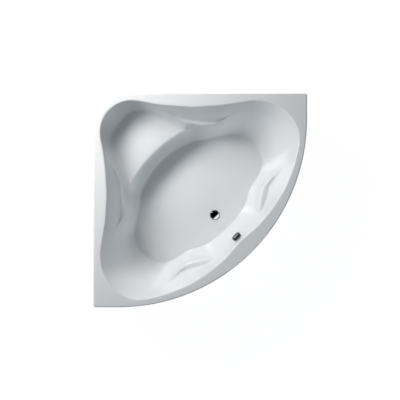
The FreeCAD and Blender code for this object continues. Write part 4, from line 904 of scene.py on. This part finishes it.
def screw_model(name, length):
    """A pan-head screw with a cross recess; its head ends at the origin and it points along +Z."""
    made = bmesh.new()
    threaded(made, SHANK_R, THREAD_DEPTH, THREAD_PITCH, HEAD_H, length - TIP_LENGTH, steps=12, per_turn=4)
    tip_middle = Matrix.Translation((0, 0, (length - TIP_LENGTH / 2) * MM))
    bmesh.ops.create_cone(made, cap_ends=True, segments=12, radius1=TIP_BASE_R * MM,
                          radius2=TIP_R * MM, depth=TIP_LENGTH * MM, matrix=tip_middle)
    shank = link_object(name, mesh_of(made, name), FINISH["zinc_steel"])
    head = lathe(name + "_head", [(0, 0), (2.8, 0), (3.9, 0.35), (4.4, 1.0), (HEAD_R, HEAD_H),
                                  (SHANK_R - 0.6, HEAD_H), (0, HEAD_H + 0.1)],
                 Vector((0, 0, 0)), UP, "zinc_steel", "root", edge=0, steps=24)
    recess = bmesh.new()
    for x, y in ((RECESS_REACH, RECESS_WIDTH), (RECESS_WIDTH, RECESS_REACH)):
        bar = Matrix.LocRotScale(None, None, Vector((2 * x, 2 * y, 2 * RECESS_DEEP)) * MM)
        bmesh.ops.create_cube(recess, size=1.0, matrix=bar)
    tool = link_object(name + "_recess", mesh_of(recess, name + "_recess"), FINISH["zinc_steel"])
    cut = head.modifiers.new("recess", "BOOLEAN")
    cut.object = tool
    cut.solver = "EXACT"
    cut.use_self = True
    settled(head, sharp=40)
    whole = bmesh.new()
    whole.from_mesh(shank.data)
    whole.from_mesh(head.data)
    whole.to_mesh(shank.data)
    whole.free()
    for used in (tool, head):
        bpy.data.objects.remove(used)
    return settled(shank, sharp=40)


# %% Screws by Geometry Nodes
def solids_of(name):
    """The corners of each separate solid of a node."""
    made = bmesh.new()
    made.from_mesh(frame["nodes"][name].data)
    bmesh.ops.remove_doubles(made, verts=made.verts, dist=0.000001)
    left, groups = dict.fromkeys(made.verts), []     # a set would shuffle the screws in each run
    while left:
        stack, group = [left.popitem()[0]], []
        while stack:
            corner = stack.pop()
            group.append(corner.co.copy())
            for edge in corner.link_edges:
                other = edge.other_vert(corner)
                if other in left:
                    del left[other]
                    stack.append(other)
        groups.append(group)
    made.free()
    return groups


def screw_tree():
    tree, given, result = new_tree("screws", Geometry="Geometry", Screw="Object", Material="Material")
    one = node(tree, "GeometryNodeObjectInfo", Object=given["Screw"]).outputs["Geometry"]
    aim = node(tree, "GeometryNodeInputNamedAttribute", Name="aim")
    aim.data_type = "FLOAT_VECTOR"
    turned = tree.nodes.new("FunctionNodeAlignRotationToVector")
    turned.axis = "Z"
    tree.links.new(aim.outputs["Attribute"], turned.inputs["Vector"])
    placed = node(tree, "GeometryNodeInstanceOnPoints", Points=given["Geometry"], Instance=one,
                  Rotation=turned.outputs[0])
    finish_tree(tree, placed.outputs[0], given["Material"], result)
    return tree


SCREW_TREE = screw_tree()
FRONT_AXIS = Vector((-HALF + END_LENGTH * MM, HALF - END_LENGTH * MM, 0))


def screws(name, node_name, aim_of):
    """Replaces a node's screws; aim_of gives each one's direction from its middle."""
    spots, aims = [], []
    for corners in solids_of(node_name):
        middle = sum(corners, Vector()) / len(corners)
        aim = aim_of(middle)
        start = min(corner.dot(aim) for corner in corners)
        top = [corner for corner in corners if corner.dot(aim) < start + 0.00001]
        spots.append(sum(top, Vector()) / len(top))
        aims.append(aim)
        length = (max(corner.dot(aim) for corner in corners) - start) / MM
    mesh = bpy.data.meshes.new(name)
    mesh.from_pydata(spots, [], [])
    mesh.attributes.new("aim", "FLOAT_VECTOR", "POINT").data.foreach_set(
        "vector", [c for aim in aims for c in aim])
    piece = link_object(name, mesh, FINISH["zinc_steel"])
    model = screw_model(name + "_model", length)
    run_tree(piece, SCREW_TREE, Screw=model, Material=FINISH["zinc_steel"])
    settled(piece, sharp=40)
    bpy.data.objects.remove(model)
    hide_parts(node_name)
    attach(piece, "root")
    print(name, len(spots), "screws,", round(length, 1), "mm,", len(piece.data.polygons), "faces")


screws("bracket_wood_screws", "bracket_screws", lambda middle: UP)
screws("rail_wood_screws", "rail_screws", lambda middle: UP)
screws("panel_wood_screws", "panel_screws",
       lambda middle: ((FRONT_AXIS - middle) * Vector((1, 1, 0))).normalized())

# %% [markdown]
# ## A white floor that keeps the shadow
# A catalogue picture shows a white bath on a white ground. A floor that only shone white would lose
# the bath's shadow, and the bath would seem to float. So towards the camera, and in reflections, most
# of the floor's colour is plain white, and the rest is its own shading, where the shadow shows. To the
# light that it throws back on the bath it is an ordinary pale floor.

# %% Stage
FLOOR_HALF = 9.0
FLOOR_COLOUR = (0.95, 0.95, 0.95, 1)
FLOOR_WHITE = 0.86       # share of the floor's colour that is plain white
FLOOR_STRENGTH = 1.12    # of that white, so that both shares together come to white
floor_mesh = bpy.data.meshes.new("studio_floor")
floor_mesh.from_pydata([(-FLOOR_HALF, -FLOOR_HALF, 0), (FLOOR_HALF, -FLOOR_HALF, 0),
                        (FLOOR_HALF, FLOOR_HALF, 0), (-FLOOR_HALF, FLOOR_HALF, 0)], [], [(0, 1, 2, 3)])


def seen_directly(tree):
    """1 for rays from the camera, or from it by way of metal or glass."""
    light = node(tree, "ShaderNodeLightPath")
    seen = node(tree, "ShaderNodeMath", "MAXIMUM", in0=light.outputs["Is Camera Ray"],
                in1=light.outputs["Is Glossy Ray"])
    return node(tree, "ShaderNodeMath", "MAXIMUM", in0=seen.outputs[0],
                in1=light.outputs["Is Transmission Ray"]).outputs[0]


def floor_material():
    material, tree, principled = shader("studio_floor", Roughness=0.9)
    principled.inputs["Base Color"].default_value = FLOOR_COLOUR
    white = node(tree, "ShaderNodeEmission", Color=(1, 1, 1, 1), Strength=FLOOR_STRENGTH)
    share = node(tree, "ShaderNodeMath", "MULTIPLY", in0=seen_directly(tree), in1=FLOOR_WHITE)
    both = node(tree, "ShaderNodeMixShader", in0=share.outputs[0], in1=principled.outputs[0],
                in2=white.outputs[0])
    tree.links.new(both.outputs[0], tree.nodes["Material Output"].inputs["Surface"])
    return material


floor = link_object("studio_floor", floor_mesh, floor_material())
floor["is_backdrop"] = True
print("floor:", 2 * FLOOR_HALF, "m wide")

# %% [markdown]
# ## What the chrome sees
# Chrome has no colour of its own. In an all-white room it would vanish on the white bath, so a
# photographer hangs a dark card over it. Here the sky carries that card: it is dark overhead for
# glossy rays alone, up to a straight edge a little towards the front of the bath, which cuts the
# domed plug along a straight line. The bath itself takes its light from the lamps.

# %% Sky
FILL = 0.02              # the sky's own light on the bath
FILL_COLOUR = (0.62, 0.82, 1.0, 1)
CARD_ABOVE = 0.34        # sine of the height over the horizon at which the card begins
CARD_FADE = 0.08         # and how far below that the sky is fully white again
CARD_EDGE = (0.13, 0.16)     # where its straight edge lies, as sine of the angle from overhead
CARD_AGAIN = (0.34, 0.40)    # and where it goes on, past a strip of light
world = bpy.data.worlds.new("studio_sky")
bpy.context.scene.world = world
world.use_nodes = True
sky = world.node_tree
fill = sky.nodes["Background"]
fill.inputs["Color"].default_value = FILL_COLOUR
fill.inputs["Strength"].default_value = FILL
heading = node(sky, "ShaderNodeTexCoord").outputs["Generated"]
height = node(sky, "ShaderNodeSeparateXYZ", Vector=heading).outputs["Z"]
ahead = node(sky, "ShaderNodeVectorMath", "DOT_PRODUCT", in0=heading,
             in1=tuple(Vector((1, -1, 0)).normalized())).outputs["Value"]
first = node(sky, "ShaderNodeMapRange", in0=ahead, in1=CARD_EDGE[0], in2=CARD_EDGE[1]).outputs[0]
again = node(sky, "ShaderNodeMapRange", in0=ahead, in1=CARD_AGAIN[0], in2=CARD_AGAIN[1]).outputs[0]
strip = node(sky, "ShaderNodeMath", "SUBTRACT", in0=first, in1=again).outputs[0]
low_sky = node(sky, "ShaderNodeMapRange", in0=height, in1=CARD_ABOVE,
               in2=CARD_ABOVE - CARD_FADE).outputs[0]
lit = node(sky, "ShaderNodeMath", "MAXIMUM", in0=strip, in1=low_sky).outputs[0]
direct = node(sky, "ShaderNodeLightPath").outputs["Is Camera Ray"]
shown = node(sky, "ShaderNodeMath", "MAXIMUM", in0=lit, in1=direct).outputs[0]
white = node(sky, "ShaderNodeBackground", Color=(1, 1, 1, 1))
sky.links.new(shown, white.inputs["Strength"])
blend = node(sky, "ShaderNodeMixShader", in0=seen_directly(sky), in1=fill.outputs[0],
             in2=white.outputs[0])
sky.links.new(blend.outputs[0], sky.nodes["World Output"].inputs["Surface"])
print("sky:", len(sky.nodes), "nodes")

# %% [markdown]
# ## Lamps
# The deck is brightest towards the corner of the room and the front wall is the brightest wall, so
# the main lamps stand over that corner and behind it. Weaker, bluer ones fill the walls in shade. All
# are wide discs, whose soft edges suit a glossy sheet. From the side, the front panel would be dark,
# so three weak lamps stand below the rim. They also reach the outer edge of the lip.

# %% Lamps above the rim
def soft_lamp(name, spot, aim, size, watts, colour=(1, 1, 1)):
    """A disc lamp at a spot, turned to shine at its aim."""
    data = bpy.data.lights.new(name, "AREA")
    data.color = colour
    data.shape = "DISK"
    data.size = size
    data.energy = watts
    lamp = bpy.data.objects.new(name, data)
    lamp.location = spot
    lamp.rotation_euler = (Vector(aim) - Vector(spot)).to_track_quat("-Z", "Y").to_euler()
    bpy.context.scene.collection.objects.link(lamp)


WARM, COOL = (1.0, 0.985, 0.965), (0.80, 0.92, 1.0)
LAMPS = {                # turn from the room corner, height over the horizon, size, watts, colour
    "left_of_corner": (-15, 38, 1.0, 54, WARM), "right_of_corner": (15, 38, 1.0, 32, WARM),
    "front": (180, 42, 1.2, 16, COOL), "left": (-45, 38, 1.0, 3, COOL),
    "corner_high": (0, 50, 0.5, 3, WARM)}
LAMP_AIM = Vector((0, 0, 0.5))
LAMP_DISTANCE = 3.0
ROOM_CORNER = 135        # heading of the room's corner, in degrees from +X
for name, (turn, height, size, watts, colour) in LAMPS.items():
    a, e = math.radians(ROOM_CORNER - turn), math.radians(height)
    towards = Vector((math.cos(a) * math.cos(e), math.sin(a) * math.cos(e), math.sin(e)))
    soft_lamp(name, LAMP_AIM + towards * LAMP_DISTANCE, LAMP_AIM, size, watts, colour)
print("lamps above the rim:", len(LAMPS))

# %% Lamps below the rim
PANEL_LAMPS = (180, 125, -125)           # turns from the room corner
PANEL_LAMP_RISE, PANEL_LAMP_SIZE, PANEL_LAMP_WATTS = 0.1, 0.5, 4
PANEL_AIM = Vector((0, 0, 0.25))
for turn in PANEL_LAMPS:
    a = math.radians(ROOM_CORNER - turn)
    spot = Vector((math.cos(a), math.sin(a), PANEL_LAMP_RISE)) * LAMP_DISTANCE
    soft_lamp("panel_light_%d" % turn, spot, PANEL_AIM, PANEL_LAMP_SIZE, PANEL_LAMP_WATTS)
print("lamps below the rim:", len(PANEL_LAMPS))

low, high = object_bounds()
print("visual box:", [round(c, 4) for c in low], [round(c, 4) for c in high])
